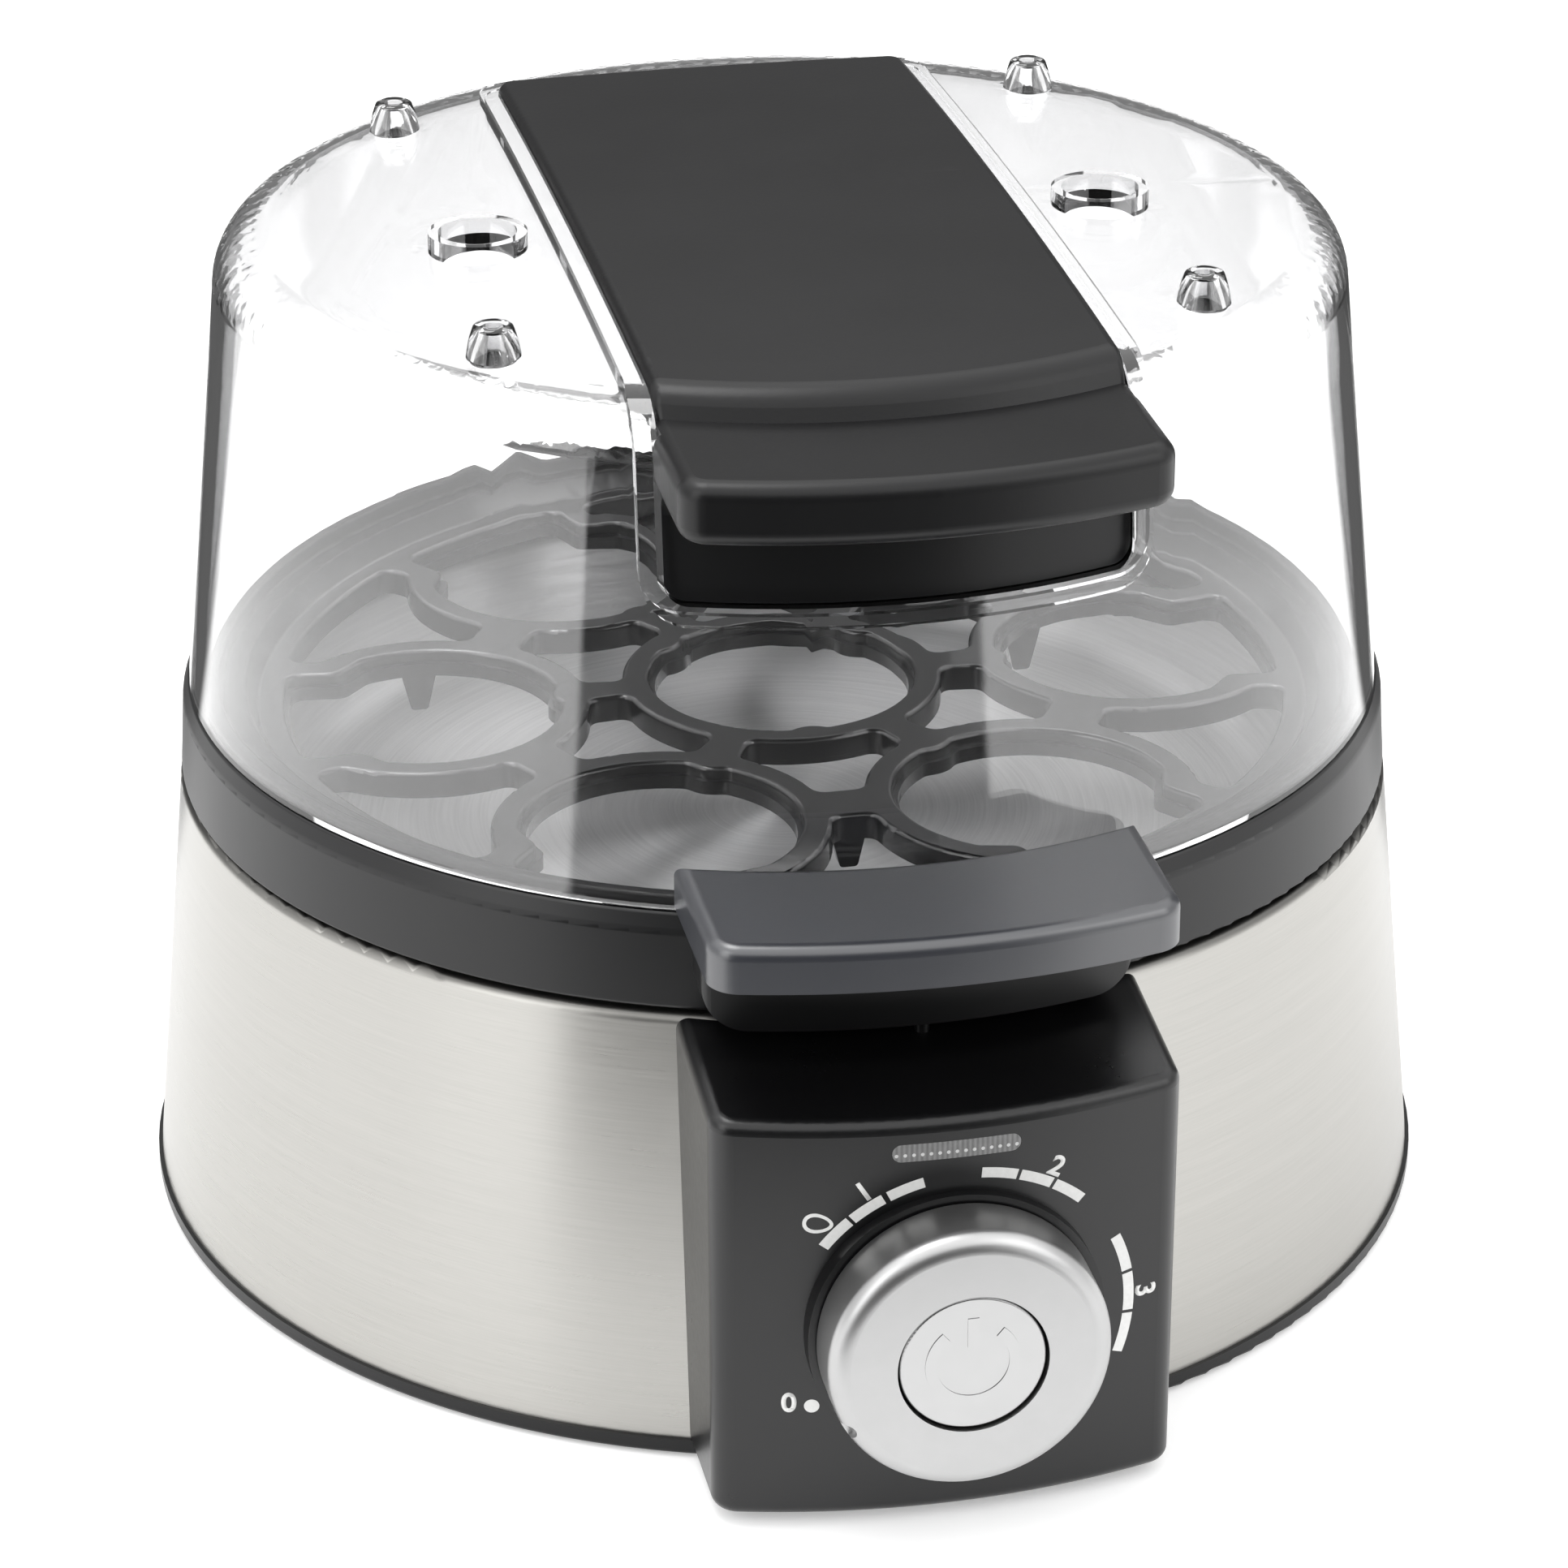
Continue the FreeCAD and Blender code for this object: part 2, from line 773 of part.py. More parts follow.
def centre_hole_face(radius):
    face = disc(radius)
    nub_distance = radius - nub_rise + nub_radius
    nubs = [disc(nub_radius, polar(nub_distance, angle)) for angle in centre_nub_angles]
    return rounded_face(face.cut(nubs).Faces[0], hole_round / 2)


def ring_hole_face(radius):
    """Egg hole with its outer side squared off into a flared pocket, on +X."""
    middle = egg_circle_radius
    inset = egg_hole_radius - radius
    limit = middle + pocket_shoulder - inset
    shoulder = math.sqrt(radius ** 2 - (limit - middle) ** 2)
    strip_half = pocket_half_width - inset
    corner_half = strip_half + pocket_flare
    reach = pocket_reach_radius - inset
    corner_x = math.sqrt(reach ** 2 - corner_half ** 2)
    turns = [(limit, shoulder), (limit + pocket_slant, strip_half), (corner_x, corner_half)]
    upper = [vector(x, y, 0) for x, y in turns]
    lower = [vector(x, -y, 0) for x, y in turns]
    edges = [
        Part.Arc(lower[0], vector(middle - radius, 0, 0), upper[0]).toShape(),
        Part.LineSegment(upper[0], upper[1]).toShape(),
        Part.LineSegment(upper[1], upper[2]).toShape(),
        Part.Arc(upper[2], vector(reach, 0, 0), lower[2]).toShape(),
        Part.LineSegment(lower[2], lower[1]).toShape(),
        Part.LineSegment(lower[1], lower[0]).toShape(),
    ]
    nub = disc(nub_radius, vector(middle - radius + nub_rise - nub_radius, 0, 0))
    face = Part.Face(Part.Wire(edges)).cut(nub).Faces[0]
    return rounded_face(face, hole_round)


def small_window_face():
    """Window between the centre hole and two ring holes, on +X."""
    face = sector(egg_hole_radius + web_width, small_window_outer_radius, small_window_half_angle)
    return trimmed_window(face)


def fan_window_face():
    """Window between two ring holes at the outside, on +X."""
    return trimmed_window(sector(fan_inner_radius, fan_outer_radius, fan_half_angle))


def trimmed_window(face):
    keep_out = egg_hole_radius + web_width
    rims = [disc(keep_out, polar(egg_circle_radius, side * egg_step / 2)) for side in (-1, 1)]
    face = face.cut(rims).Faces[0]
    return face.makeOffset2D(-window_round).makeOffset2D(window_round)


def raised(face, bottom, top):
    face = face.copy()
    face.translate(vector(0, 0, bottom))
    return face.extrude(vector(0, 0, top - bottom))


def tray_cuts():
    low = tray_bottom_z - overrun
    high = tray_top_z + overrun
    step_z = tray_top_z - egg_step_depth
    narrow = egg_hole_radius - egg_step_width
    centre = raised(centre_hole_face(narrow), low, high)
    centre = centre.fuse(raised(centre_hole_face(egg_hole_radius), step_z, high))
    hole = raised(ring_hole_face(narrow), low, high)
    hole = hole.fuse(raised(ring_hole_face(egg_hole_radius), step_z, high))
    cuts = [centre] + patterned(hole, egg_ring_count)
    cuts += patterned(raised(small_window_face(), low, high), egg_ring_count, egg_step / 2)
    cuts += patterned(raised(fan_window_face(), low, high), egg_ring_count, egg_step / 2)
    return cuts


def tray_legs():
    """Three tapered stubs that keep the lifted carrier level on a table."""
    legs = []
    for angle, radius in leg_places:
        top_z = tray_bottom_z + overrun
        foot_z = tray_bottom_z - leg_length
        leg = front_prism((
            (-leg_top_width / 2, top_z, 0),
            (-leg_tip_width / 2, foot_z, leg_tip_round),
            (leg_tip_width / 2, foot_z, leg_tip_round),
            (leg_top_width / 2, top_z, 0),
        ), -leg_thickness / 2, leg_thickness / 2)
        leg.translate(polar(radius, angle))
        legs.append(leg)
    return legs


def carrier_ring():
    """Outer ring of the carrier: skirt, lid seat, upstand and the steps down to the tray."""
    upstand_inner = upstand_radius - upstand_width
    step_z = upstand_top_z - inner_step_drop
    step_inner = upstand_inner - inner_step_width
    seat_z = flange_top_z + seat_gap
    rib_outer = seat_rib_inner_radius + seat_rib_width
    skirt_inner = ring_bottom_radius - ring_wall
    edge = ring_edge_radius
    return revolved((
        (ring_bottom_radius, ring_bottom_z, edge),
        (ring_shoulder_radius, ring_top_z - ring_shoulder_drop, ring_shoulder_round),
        (ring_top_radius, ring_top_z, edge),
        (upstand_radius, ring_top_z, 0),
        (upstand_radius, upstand_top_z, edge),
        (upstand_inner, upstand_top_z, edge),
        (upstand_inner - edge, step_z, edge),
        (step_inner, step_z, edge),
        (tray_edge_radius, tray_top_z, edge),
        (tray_root_radius, tray_top_z, 0),
        (tray_root_radius, tray_bottom_z, 0),
        (tray_edge_radius + edge, tray_bottom_z, edge),
        (seat_rib_inner_radius - edge, step_z - ring_wall, 0),
        (seat_rib_inner_radius, seat_z, 0),
        (rib_outer, seat_z, 0),
        (rib_outer, ring_top_z - ring_wall, 0),
        (skirt_inner - edge, ring_top_z - ring_wall - edge, 0),
        (skirt_inner, ring_bottom_z, 0),
    ))


def handle_plan(half_width, back_radius, front_radius, rounding, bottom, top):
    """Piece of a ring in front of the origin with straight parallel sides and rounded corners."""
    slab = box_between((-half_width, -front_radius, bottom), (half_width, 0, top))
    solid = slab.common(upright(front_radius, bottom, top))
    if back_radius:
        solid = solid.cut(upright(back_radius, bottom - overrun, top + overrun))
    if not rounding:
        return solid

    corner_y = -math.sqrt(front_radius ** 2 - half_width ** 2)

    def front_corner(edge):
        middle = edge.CenterOfMass
        return abs(abs(middle.x) - half_width) < fit_gap and abs(middle.y - corner_y) < fit_gap

    return rounded_where(solid, rounding, front_corner)


def handle_block():
    """Cup-shaped bracket under the handle cover, moulded on the ring."""
    top = handle_top_z - handle_top_wall - block_cap_gap
    back = ring_shoulder_radius - ring_wall / 2
    outer = handle_plan(block_half_width, back, block_front_radius, block_wall, block_bottom_z, top)
    ends = front_prism((
        (-block_half_width, top + overrun, 0),
        (-block_half_width, block_bottom_z, block_corner_radius),
        (block_half_width, block_bottom_z, block_corner_radius),
        (block_half_width, top + overrun, 0),
    ), 0, -block_front_radius - overrun)
    inner = handle_plan(block_half_width - block_wall, back - overrun, block_front_radius - block_wall, 0,
                        block_bottom_z + block_floor, top + overrun)
    room_radius = handle_back_radius + handle_wall + fit_gap
    cover_room = upright(room_radius, handle_bottom_z - fit_gap, top + overrun)
    under = block_bottom_z - overrun
    floor_top = block_bottom_z + block_floor
    cuts = [inner, cover_room]
    cuts.append(upright(pin_radius + pin_hole_gap, under, floor_top + overrun, vector(0, -pin_place, 0)))
    for place in handle_screw_places():
        cuts.append(upright(handle_screw_radius + fit_gap, under, floor_top + overrun, place))
        cuts.append(upright(handle_head_radius + fit_gap, under, block_bottom_z + handle_head_height, place))
    return outer.common(ends).cut(cuts)


def handle_screw_places():
    depth = math.sqrt(handle_screw_place ** 2 - handle_screw_offset ** 2)
    return [vector(side * handle_screw_offset, -depth, 0) for side in (-1, 1)]


def egg_carrier():
    """Ring, handle bracket, legs and the web of holes, whose upper edges are rounded."""
    plate = upright(tray_root_radius + overrun, tray_bottom_z, tray_top_z)
    plate = plate.cut(tray_cuts()).Solids[0]

    def hole_rim(edge):
        box = edge.BoundBox
        return box.ZMin > tray_top_z - fit_gap and box.XLength < tray_root_radius

    plate = rounded_where(plate, web_edge_round, hole_rim)
    return carrier_ring().fuse([plate, handle_block()] + tray_legs()).removeSplitter()


def handle_cover():
    """Hollow grip cover that caps the bracket, with bosses for its two screws."""
    outer = handle_plan(handle_half_width, handle_back_radius, handle_front_radius,
                        handle_corner_radius, handle_bottom_z, handle_top_z)

    def top_rim(edge):
        box = edge.BoundBox
        return box.ZMin > handle_top_z - fit_gap and box.ZLength < fit_gap

    outer = rounded_where(outer, handle_round, top_rim)
    inner = handle_plan(handle_half_width - handle_wall, handle_back_radius + handle_wall,
                        handle_front_radius - handle_wall, handle_corner_radius - handle_wall,
                        handle_bottom_z - overrun, handle_top_z - handle_top_wall)
    cover = outer.cut(inner)
    boss_bottom_z = block_bottom_z + block_floor
    bosses = []
    bores = []
    bore_top_z = boss_bottom_z + small_screw_length
    for place in handle_screw_places():
        bosses.append(upright(handle_boss_radius, boss_bottom_z, handle_top_z - handle_top_wall / 2, place))
        bores.append(upright(handle_screw_radius, boss_bottom_z - overrun, bore_top_z, place))
    rib_places = (-block_half_width / 2, 0, block_half_width / 2)
    ribs = [
        box_between(
            (x - handle_wall / 2, -handle_front_radius, handle_bottom_z + handle_wall),
            (x + handle_wall / 2, -block_front_radius - block_wall, handle_top_z - handle_top_wall / 2),
        ).common(upright(handle_front_radius - handle_wall / 2, handle_bottom_z, handle_top_z))
        for x in rib_places
    ]
    return cover.fuse(bosses + ribs).cut(bores).removeSplitter()


def handle_screws():
    screws = []
    seat_z = block_bottom_z + handle_head_height
    for place in handle_screw_places():
        head = upright(handle_head_radius, block_bottom_z, seat_z, place)
        shank = upright(handle_screw_radius, block_bottom_z, seat_z + small_screw_length, place)
        screws.append(head.fuse(shank))
    return group(screws)


# Lid


def crown_edge(radius, edge_z, crown):
    """Shallow parabola from a rim up to the axis, in the drawing plane."""
    curve = Part.BezierCurve()
    curve.setPoles([
        vector(radius, edge_z, 0),
        vector(radius / 2, edge_z + crown, 0),
        vector(0, edge_z + crown, 0),
    ])
    return curve.toShape()


def dome_z(radius, inset=0):
    """Height of the dome's top at a radius, on its outer face moved inwards by an inset."""
    top_radius = lid_radius(lid_top_z - inset) - inset
    return lid_top_z - inset + lid_crown * (1 - (radius / top_radius) ** 2)


def dome_solid(inset):
    """Everything inside the lid's outer face moved inwards by an inset."""
    low = lid_bottom_z - overrun
    top_z = lid_top_z - inset
    top_radius = lid_radius(top_z) - inset
    axis_foot = vector(0, low, 0)
    low_corner = vector(lid_radius(low) - inset, low, 0)
    edges = [
        Part.LineSegment(axis_foot, low_corner).toShape(),
        Part.LineSegment(low_corner, vector(top_radius, top_z, 0)).toShape(),
        crown_edge(top_radius, top_z, lid_crown),
        Part.LineSegment(vector(0, top_z + lid_crown, 0), axis_foot).toShape(),
    ]
    solid = standing(Part.Face(Part.Wire(edges))).revolve(ORIGIN, Z_AXIS, full_turn)

    def shoulder(edge):
        box = edge.BoundBox
        return box.ZLength < fit_gap and abs(box.ZMax - top_z) < fit_gap and box.XLength > top_radius

    return rounded_where(solid, lid_corner_radius - inset, shoulder)


def band_region(margin, rounding):
    """Space that the band lies in, from the lid's front to its plain rear end, grown by a margin."""
    half_width = band_half_width + margin
    low = skirt_bottom_z - margin
    high = band_top_z + lid_crown + band_rise
    back_y = band_back_y + margin
    front_y = -lid_bottom_radius - overrun
    slot = front_prism((
        (-half_width, high, 0),
        (-half_width, low, rounding),
        (half_width, low, rounding),
        (half_width, high, 0),
    ), back_y, front_y)
    plan = prism((
        (-half_width, front_y, 0),
        (-half_width, back_y, rounding),
        (half_width, back_y, rounding),
        (half_width, front_y, 0),
    ), low, high)
    return slot.common(plan)


def lid_dome():
    """Clear dome with the band's channel, its framing rib, four cones and two vent collars."""
    channel = band_region(fit_gap, frame_corner_radius)
    channel_back = band_region(fit_gap + lid_wall, frame_corner_radius + lid_wall)
    frame = band_region(fit_gap + frame_width, frame_corner_radius + frame_width)
    outside = dome_solid(0)
    sunk = dome_solid(band_sink)
    cavity = dome_solid(lid_wall)
    sunk_cavity = dome_solid(lid_wall + band_sink)
    rib = dome_solid(-frame_height).cut(cavity).common(frame).cut(channel)
    body = outside.cut(channel.cut(sunk)).fuse(rib)
    body = body.cut(cavity.cut(channel_back)).cut(sunk_cavity.common(channel_back))
    body = body.cut(upright(foot_radius, lid_bottom_z - 2 * overrun, lid_bottom_z))
    cone_root_z = dome_z(cone_offset * math.sqrt(2)) - lid_wall / 2
    cone_top_z = cone_root_z + lid_wall / 2 + cone_height
    cone = revolved((
        (0, cone_root_z, 0),
        (cone_base_radius, cone_root_z, 0),
        (cone_tip_radius, cone_top_z, cone_tip_radius / 2),
        (0, cone_top_z, 0),
    ))
    additions = []
    for side_x in (-1, 1):
        for side_y in (-1, 1):
            copy = cone.copy()
            copy.translate(vector(side_x * cone_offset, side_y * cone_offset, 0))
            additions.append(copy)
    vent_root_z = dome_z(vent_offset_x) - lid_wall / 2
    vent_top_z = vent_root_z + lid_wall / 2 + vent_height
    holes = []
    for side_x in (-1, 1):
        place = vector(side_x * vent_offset_x, vent_offset_y, 0)
        additions.append(upright(vent_outer_radius, vent_root_z, vent_top_z, place))
        hole_bottom_z = vent_root_z - lid_wall - overrun
        holes.append(upright(vent_inner_radius, hole_bottom_z, vent_top_z + overrun, place))
    holes += [upright(small_screw_radius + fit_gap, lid_top_z - 2 * lid_wall - band_sink,
                      lid_top_z + lid_crown, place) for place in band_screw_places()]
    return body.fuse(additions).cut(holes).removeSplitter()


def band_screw_places():
    return [vector(0, side * band_screw_offset, 0) for side in (-1, 1)]


def band_top():
    """The band's cap over the lid, rolled down in front and rounded along its sides and its rear end."""
    crown_z = band_top_z + lid_crown
    start = band_roll_radius - 2 * band_roll_round
    start_crown = lid_crown * (start / band_roll_radius) ** 2
    start_z = crown_z - start_crown
    low = grip_bottom_z + grip_round
    side = rounded_edges((
        (start, start_z, 0),
        (band_roll_radius, band_top_z, band_roll_round),
        (grip_root_radius, grip_top_z, 0),
        (grip_root_radius, low, 0),
        (0, low, 0),
        (0, crown_z, 0),
    ), closed=False)
    side.append(crown_edge(start, start_z, start_crown))
    cap = standing(Part.Face(Part.Wire(side))).revolve(ORIGIN, Z_AXIS, full_turn)
    cap = cap.common(prism((
        (-band_half_width, -foot_radius, 0),
        (-band_half_width, band_back_y, band_back_round),
        (band_half_width, band_back_y, band_back_round),
        (band_half_width, -foot_radius, 0),
    ), low - overrun, crown_z + overrun))

    def top_rim(edge):
        box = edge.BoundBox
        at_back = box.YMin > band_back_y - band_back_round - fit_gap
        return box.ZMin > grip_top_z - fit_gap and (at_back or box.XLength < fit_gap)

    return rounded_where(cap, band_edge_round, top_rim)


def grip_ledge():
    """Rounded ledge in front of the lid, let back between the frame ribs only as wide as the band."""
    core = lid_top_radius - lid_corner_radius
    ledge = handle_plan(grip_half_width, 0, grip_front_radius, grip_corner_radius,
                        grip_bottom_z, grip_top_z)

    def rim(edge):
        return edge.BoundBox.ZLength < fit_gap and edge.BoundBox.YMax < -core

    low_z = grip_bottom_z - overrun
    high_z = grip_top_z + overrun
    wide_root = lid_radius(grip_bottom_z) + frame_height + seat_gap
    between = box_between((-band_half_width, -wide_root, low_z), (band_half_width, 0, high_z))
    return rounded_where(ledge, grip_round, rim).cut(upright(wide_root, low_z, high_z).cut(between))


def lid_band():
    """Black band over the lid that ends in a grip ledge and a skirt in front."""
    core = lid_top_radius - lid_corner_radius
    ledge = grip_ledge()
    skirt = revolved((
        (core, skirt_bottom_z, 0),
        (lid_radius(skirt_bottom_z), skirt_bottom_z, 0),
        (lid_radius(grip_bottom_z - skirt_root), grip_bottom_z - skirt_root, skirt_root),
        (lid_radius(grip_bottom_z) + skirt_root, grip_bottom_z, 0),
        (core, grip_bottom_z + grip_round, 0),
    ))
    skirt = skirt.common(band_region(0, frame_corner_radius - fit_gap))
    band = band_top().fuse([ledge, skirt]).cut(dome_solid(band_sink))
    bores = [upright(small_screw_radius, lid_top_z - lid_wall - band_sink,
                     lid_top_z + lid_crown, place) for place in band_screw_places()]
    return band.cut(bores).removeSplitter()


def lid_radius(z):
    """Outer radius of the lid's wall at a height."""
    return lid_bottom_radius - lid_slope_share * (z - lid_bottom_z)


def band_screws():
    screws = []
    for place in band_screw_places():
        seat_z = dome_z(band_screw_offset + small_head_radius, band_sink + lid_wall)
        head = upright(small_head_radius, seat_z - small_head_height, seat_z, place)
        shank = upright(small_screw_radius, seat_z - overrun, lid_top_z + lid_crown - overrun, place)
        screws.append(head.fuse(shank))
    return group(screws)


# Control box


def box_top_z(depth):
    """Height of the sloping top at a distance in front of the axis."""
    share = (depth - shell_top_radius) / (box_front_radius - shell_top_radius)
    return box_top_back + (box_top_front - box_top_back) * share


def box_blank(half_width, front_radius, corner, bottom, top_lower):
    back = -shell_top_radius / 2
    blank = handle_plan(half_width, -back, front_radius, corner, bottom, box_top_back + overrun)
    profile = (
        (back, box_top_back + 2 * overrun, 0),
        (back, box_top_z(-back) - top_lower, 0),
        (-front_radius - overrun, box_top_z(front_radius + overrun) - top_lower, 0),
        (-front_radius - overrun, box_top_back + 2 * overrun, 0),
    )
    face = standing(Part.Face(Part.Wire(rounded_edges(profile))))
    face.rotate(ORIGIN, Z_AXIS, quarter_turn)
    face.translate(vector(-half_width - overrun, 0, 0))
    slope = face.extrude(vector(2 * half_width + 2 * overrun, 0, 0))
    return blank.cut(slope)


def box_screw_places():
    return [(side * box_screw_offset, z) for side in (-1, 1) for z in (box_screw_low, box_screw_high)]


def board_post_places():
    return [(side * board_post_offset, z) for side in (-1, 1) for z in (board_post_low, board_post_high)]


def control_box():
    """Moulded cover of the controls, open at the back where it meets the steel shell."""
    outer = box_blank(box_half_width, box_front_radius, box_corner_radius, box_bottom, 0)

    def front_rims(edge):
        box = edge.BoundBox
        low_rim = box.ZMax < box_bottom + fit_gap
        level_enough = box.ZLength < box_top_back - box_top_front + fit_gap
        high_rim = level_enough and box.ZMin > box_top_front - overrun
        forward = box.YMax < -shell_top_radius
        return (low_rim or high_rim) and forward

    outer = rounded_where(outer, box_edge_round, front_rims)
    inner = box_blank(box_half_width - box_wall, box_front_radius - box_wall,
                      box_corner_radius - box_wall, box_bottom + box_wall, box_wall)
    inside_shell = shell_solid(-running_gap)
    box = outer.cut(inner)
    posts = []
    drillings = []
    for x, z in board_post_places():
        post_end = box_wall / 2 - box_front_radius
        posts.append(level(board_post_radius, board_front_y, post_end, x, z))
        drillings.append(level(small_screw_radius, board_front_y, board_front_y - small_screw_length, x, z))
    for x, z in box_screw_places():
        back_y = -math.sqrt(shell_radius(z) ** 2 - x ** 2) + box_boss_radius
        boss_end = back_y - box_boss_radius - box_boss_length
        posts.append(level(box_boss_radius, back_y, boss_end, x, z))
        bore_end = back_y - box_boss_radius - small_screw_length
        drillings.append(level(small_screw_radius, back_y, bore_end, x, z))
    limit = box_blank(box_half_width - overrun / 2, box_front_radius - overrun / 2,
                      box_corner_radius - overrun / 2, box_bottom + overrun / 2, overrun / 2)
    foot = upright(foot_radius + running_gap, housing_bottom_z, shell_bottom_z + running_gap)
    box = box.fuse([post.common(limit) for post in posts]).cut([inside_shell, foot])
    pin = upright(pin_radius, box_top_z(pin_place) - box_wall / 2,
                  box_top_z(pin_place) + pin_height, vector(0, -pin_place, 0))
    shaft_hole = level(bushing_radius + running_gap, 0, -foot_radius - foot_radius, 0, dial_z)
    lens_slot = lens_prism(running_gap, 0, -box_front_radius - overrun)
    return box.fuse(pin).cut(drillings + [shaft_hole, lens_slot]).removeSplitter()


def lens_prism(margin, back_y, front_y):
    half_height = lens_height / 2 + margin
    half_width = lens_half_width + margin
    rounding = half_height - running_gap / 2
    return front_prism((
        (-half_width, lens_z - half_height, rounding),
        (half_width, lens_z - half_height, rounding),
        (half_width, lens_z + half_height, rounding),
        (-half_width, lens_z + half_height, rounding),
    ), back_y, front_y)


def indicator_lens():
    """Clear window set in the face of the control box, with a flange behind it."""
    low = lens_z - lens_height - lens_flange
    high = lens_z + lens_height + lens_flange
    wall_back = box_front_radius - box_wall
    face = lens_prism(0, 0, -box_front_radius - overrun)
    behind = upright(wall_back, low - overrun, high + overrun)
    face = face.common(upright(box_front_radius, low, high)).cut(behind)
    flange = lens_prism(lens_flange, 0, -box_front_radius)
    flange = flange.common(upright(wall_back, low, high))
    flange = flange.cut(upright(wall_back - lens_flange_thickness, low - overrun, high + overrun))
    return face.fuse(flange).removeSplitter()


def control_box_screws():
    screws = []
    for x, z in box_screw_places():
        inner_radius = shell_radius(z) - shell_thickness
        seat_y = -math.sqrt(inner_radius ** 2 - x ** 2) + small_head_radius / 2
        head = level(small_head_radius, seat_y, seat_y + small_head_height, x, z)
        reach_y = -math.sqrt(shell_radius(z) ** 2 - x ** 2) - small_screw_length + overrun
        shank = level(small_screw_radius, seat_y, reach_y, x, z)
        screws.append(head.fuse(shank))
    return group(screws)


# Dial, knob and button


def dial_bezel():
    ring = level(bezel_radius, -shell_top_radius, bezel_front_y, 0, dial_z)
    ring = ring.cut(level(bezel_inner_radius, 0, bezel_front_y - overrun, 0, dial_z))
    return ring.cut(upright(box_front_radius, dial_z - foot_radius, dial_z + foot_radius))


def timer_knob():
    """Metal cap of the knob with its rounded rim, centre opening and pointer notch."""
    outer = level(knob_radius, knob_base_y, knob_front_y, 0, dial_z)

    def front_rim(edge):
        return edge.BoundBox.YMax < knob_front_y + fit_gap

    outer = rounded_where(outer, knob_round, front_rim)
    face_back_y = knob_front_y + knob_face_thickness
    inner = level(knob_radius - knob_wall, knob_base_y + overrun, face_back_y, 0, dial_z)
    opening = level(button_radius + button_gap, knob_base_y, knob_front_y - overrun, 0, dial_z)
    notch_place = polar(knob_radius, knob_start_angle)
    notch = level(knob_notch_radius, knob_front_y + knob_round, knob_front_y - overrun,
                  notch_place.x, dial_z + notch_place.y)
    return outer.cut([inner, opening, notch])


def knob_hub():
    """Plastic carrier inside the knob, with the hollow shaft that turns the sensor."""
    plate = level(knob_radius - knob_wall, hub_back_y, hub_front_y, 0, dial_z)
    collar = level(hub_collar_radius, hub_front_y, knob_front_y + knob_face_thickness, 0, dial_z)
    collar = collar.cut(level(hub_collar_radius - hub_collar_wall, hub_front_y, knob_front_y, 0, dial_z))
    shaft = level(shaft_radius, sleeve_base_y - seat_gap, hub_front_y, 0, dial_z)
    bore = level(shaft_bore_radius, sleeve_base_y + overrun, hub_front_y - overrun, 0, dial_z)
    return plate.fuse([collar, shaft]).cut(bore).removeSplitter()


def dial_sensor():
    """Body and threaded bushing of the rotary sensor on the circuit board."""
    half = encoder_half_width
    body = front_prism((
        (-half, dial_z - half, encoder_corner_radius),
        (half, dial_z - half, encoder_corner_radius),
        (half, dial_z + half, encoder_corner_radius),
        (-half, dial_z + half, encoder_corner_radius),
    ), board_front_y, encoder_front_y)
    bushing = level(bushing_radius, encoder_front_y, bushing_front_y, 0, dial_z)
    bore = level(bushing_bore_radius, board_front_y, bushing_front_y - overrun, 0, dial_z)
    room_end_y = sleeve_base_y - seat_gap / 2
    room = level(sleeve_base_radius + fit_gap, board_front_y + overrun, room_end_y, 0, dial_z)
    return body.fuse(bushing).cut([bore, room]).removeSplitter()


def sensor_nut():
    """Hexagon nut that clamps the sensor's bushing to the face of the box."""
    half_corner = full_turn / hex_corner_count / 2
    corner_radius = nut_width / 2 / math.cos(math.radians(half_corner))
    corners = [polar(corner_radius, i * full_turn / hex_corner_count) for i in range(hex_corner_count)]
    outline = [(corner.x, dial_z + corner.y, 0) for corner in corners]
    nut = front_prism(outline, box_face_y - running_gap, box_face_y - running_gap - nut_thickness)
    return nut.cut(level(bushing_radius, 0, 2 * box_face_y, 0, dial_z))


def button_sleeve():
    """Fixed guide tube on the board that the button's stem slides in."""
    base = level(sleeve_base_radius, board_front_y, sleeve_base_y, 0, dial_z)
    room = level(sleeve_base_bore, board_front_y, sleeve_base_y + sleeve_wall, 0, dial_z)
    tube = level(sleeve_radius, sleeve_base_y, sleeve_front_y, 0, dial_z)
    bore = level(stem_radius + running_gap, board_front_y, sleeve_front_y - overrun, 0, dial_z)
    return base.fuse(tube).cut([room, bore]).removeSplitter()


def start_button():
    """Polished push cap with the embossed ring and bar of a start symbol left to the finish."""
    cap = level(button_radius, button_back_y, button_front_y, 0, dial_z)

    def front_rim(edge):
        return edge.BoundBox.YMax < button_front_y + fit_gap

    return rounded_where(cap, button_gap, front_rim)


def button_stem():
    return level(stem_radius, plunger_top_y, button_back_y, 0, dial_z)


def switch_plunger():
    return level(plunger_radius, switch_top_y, plunger_top_y, 0, dial_z)


def push_switch():
    half = switch_half_width
    body = front_prism((
        (-half, dial_z - half, 0),
        (half, dial_z - half, 0),
        (half, dial_z + half, 0),
        (-half, dial_z + half, 0),
    ), board_front_y, switch_top_y)
    return body.cut(level(plunger_radius + running_gap, switch_top_y - overrun,
                          switch_top_y + button_travel + seat_gap, 0, dial_z))


# Circuit board and what stands on it


def circuit_board():
    board = box_between(
        (-board_half_width, board_front_y, board_bottom),
        (board_half_width, board_front_y + board_thickness, board_top),
    )
    holes = [level(small_screw_radius + fit_gap, board_front_y - overrun,
                   board_front_y + board_thickness + overrun, x, z) for x, z in board_post_places()]
    return board.cut(holes)


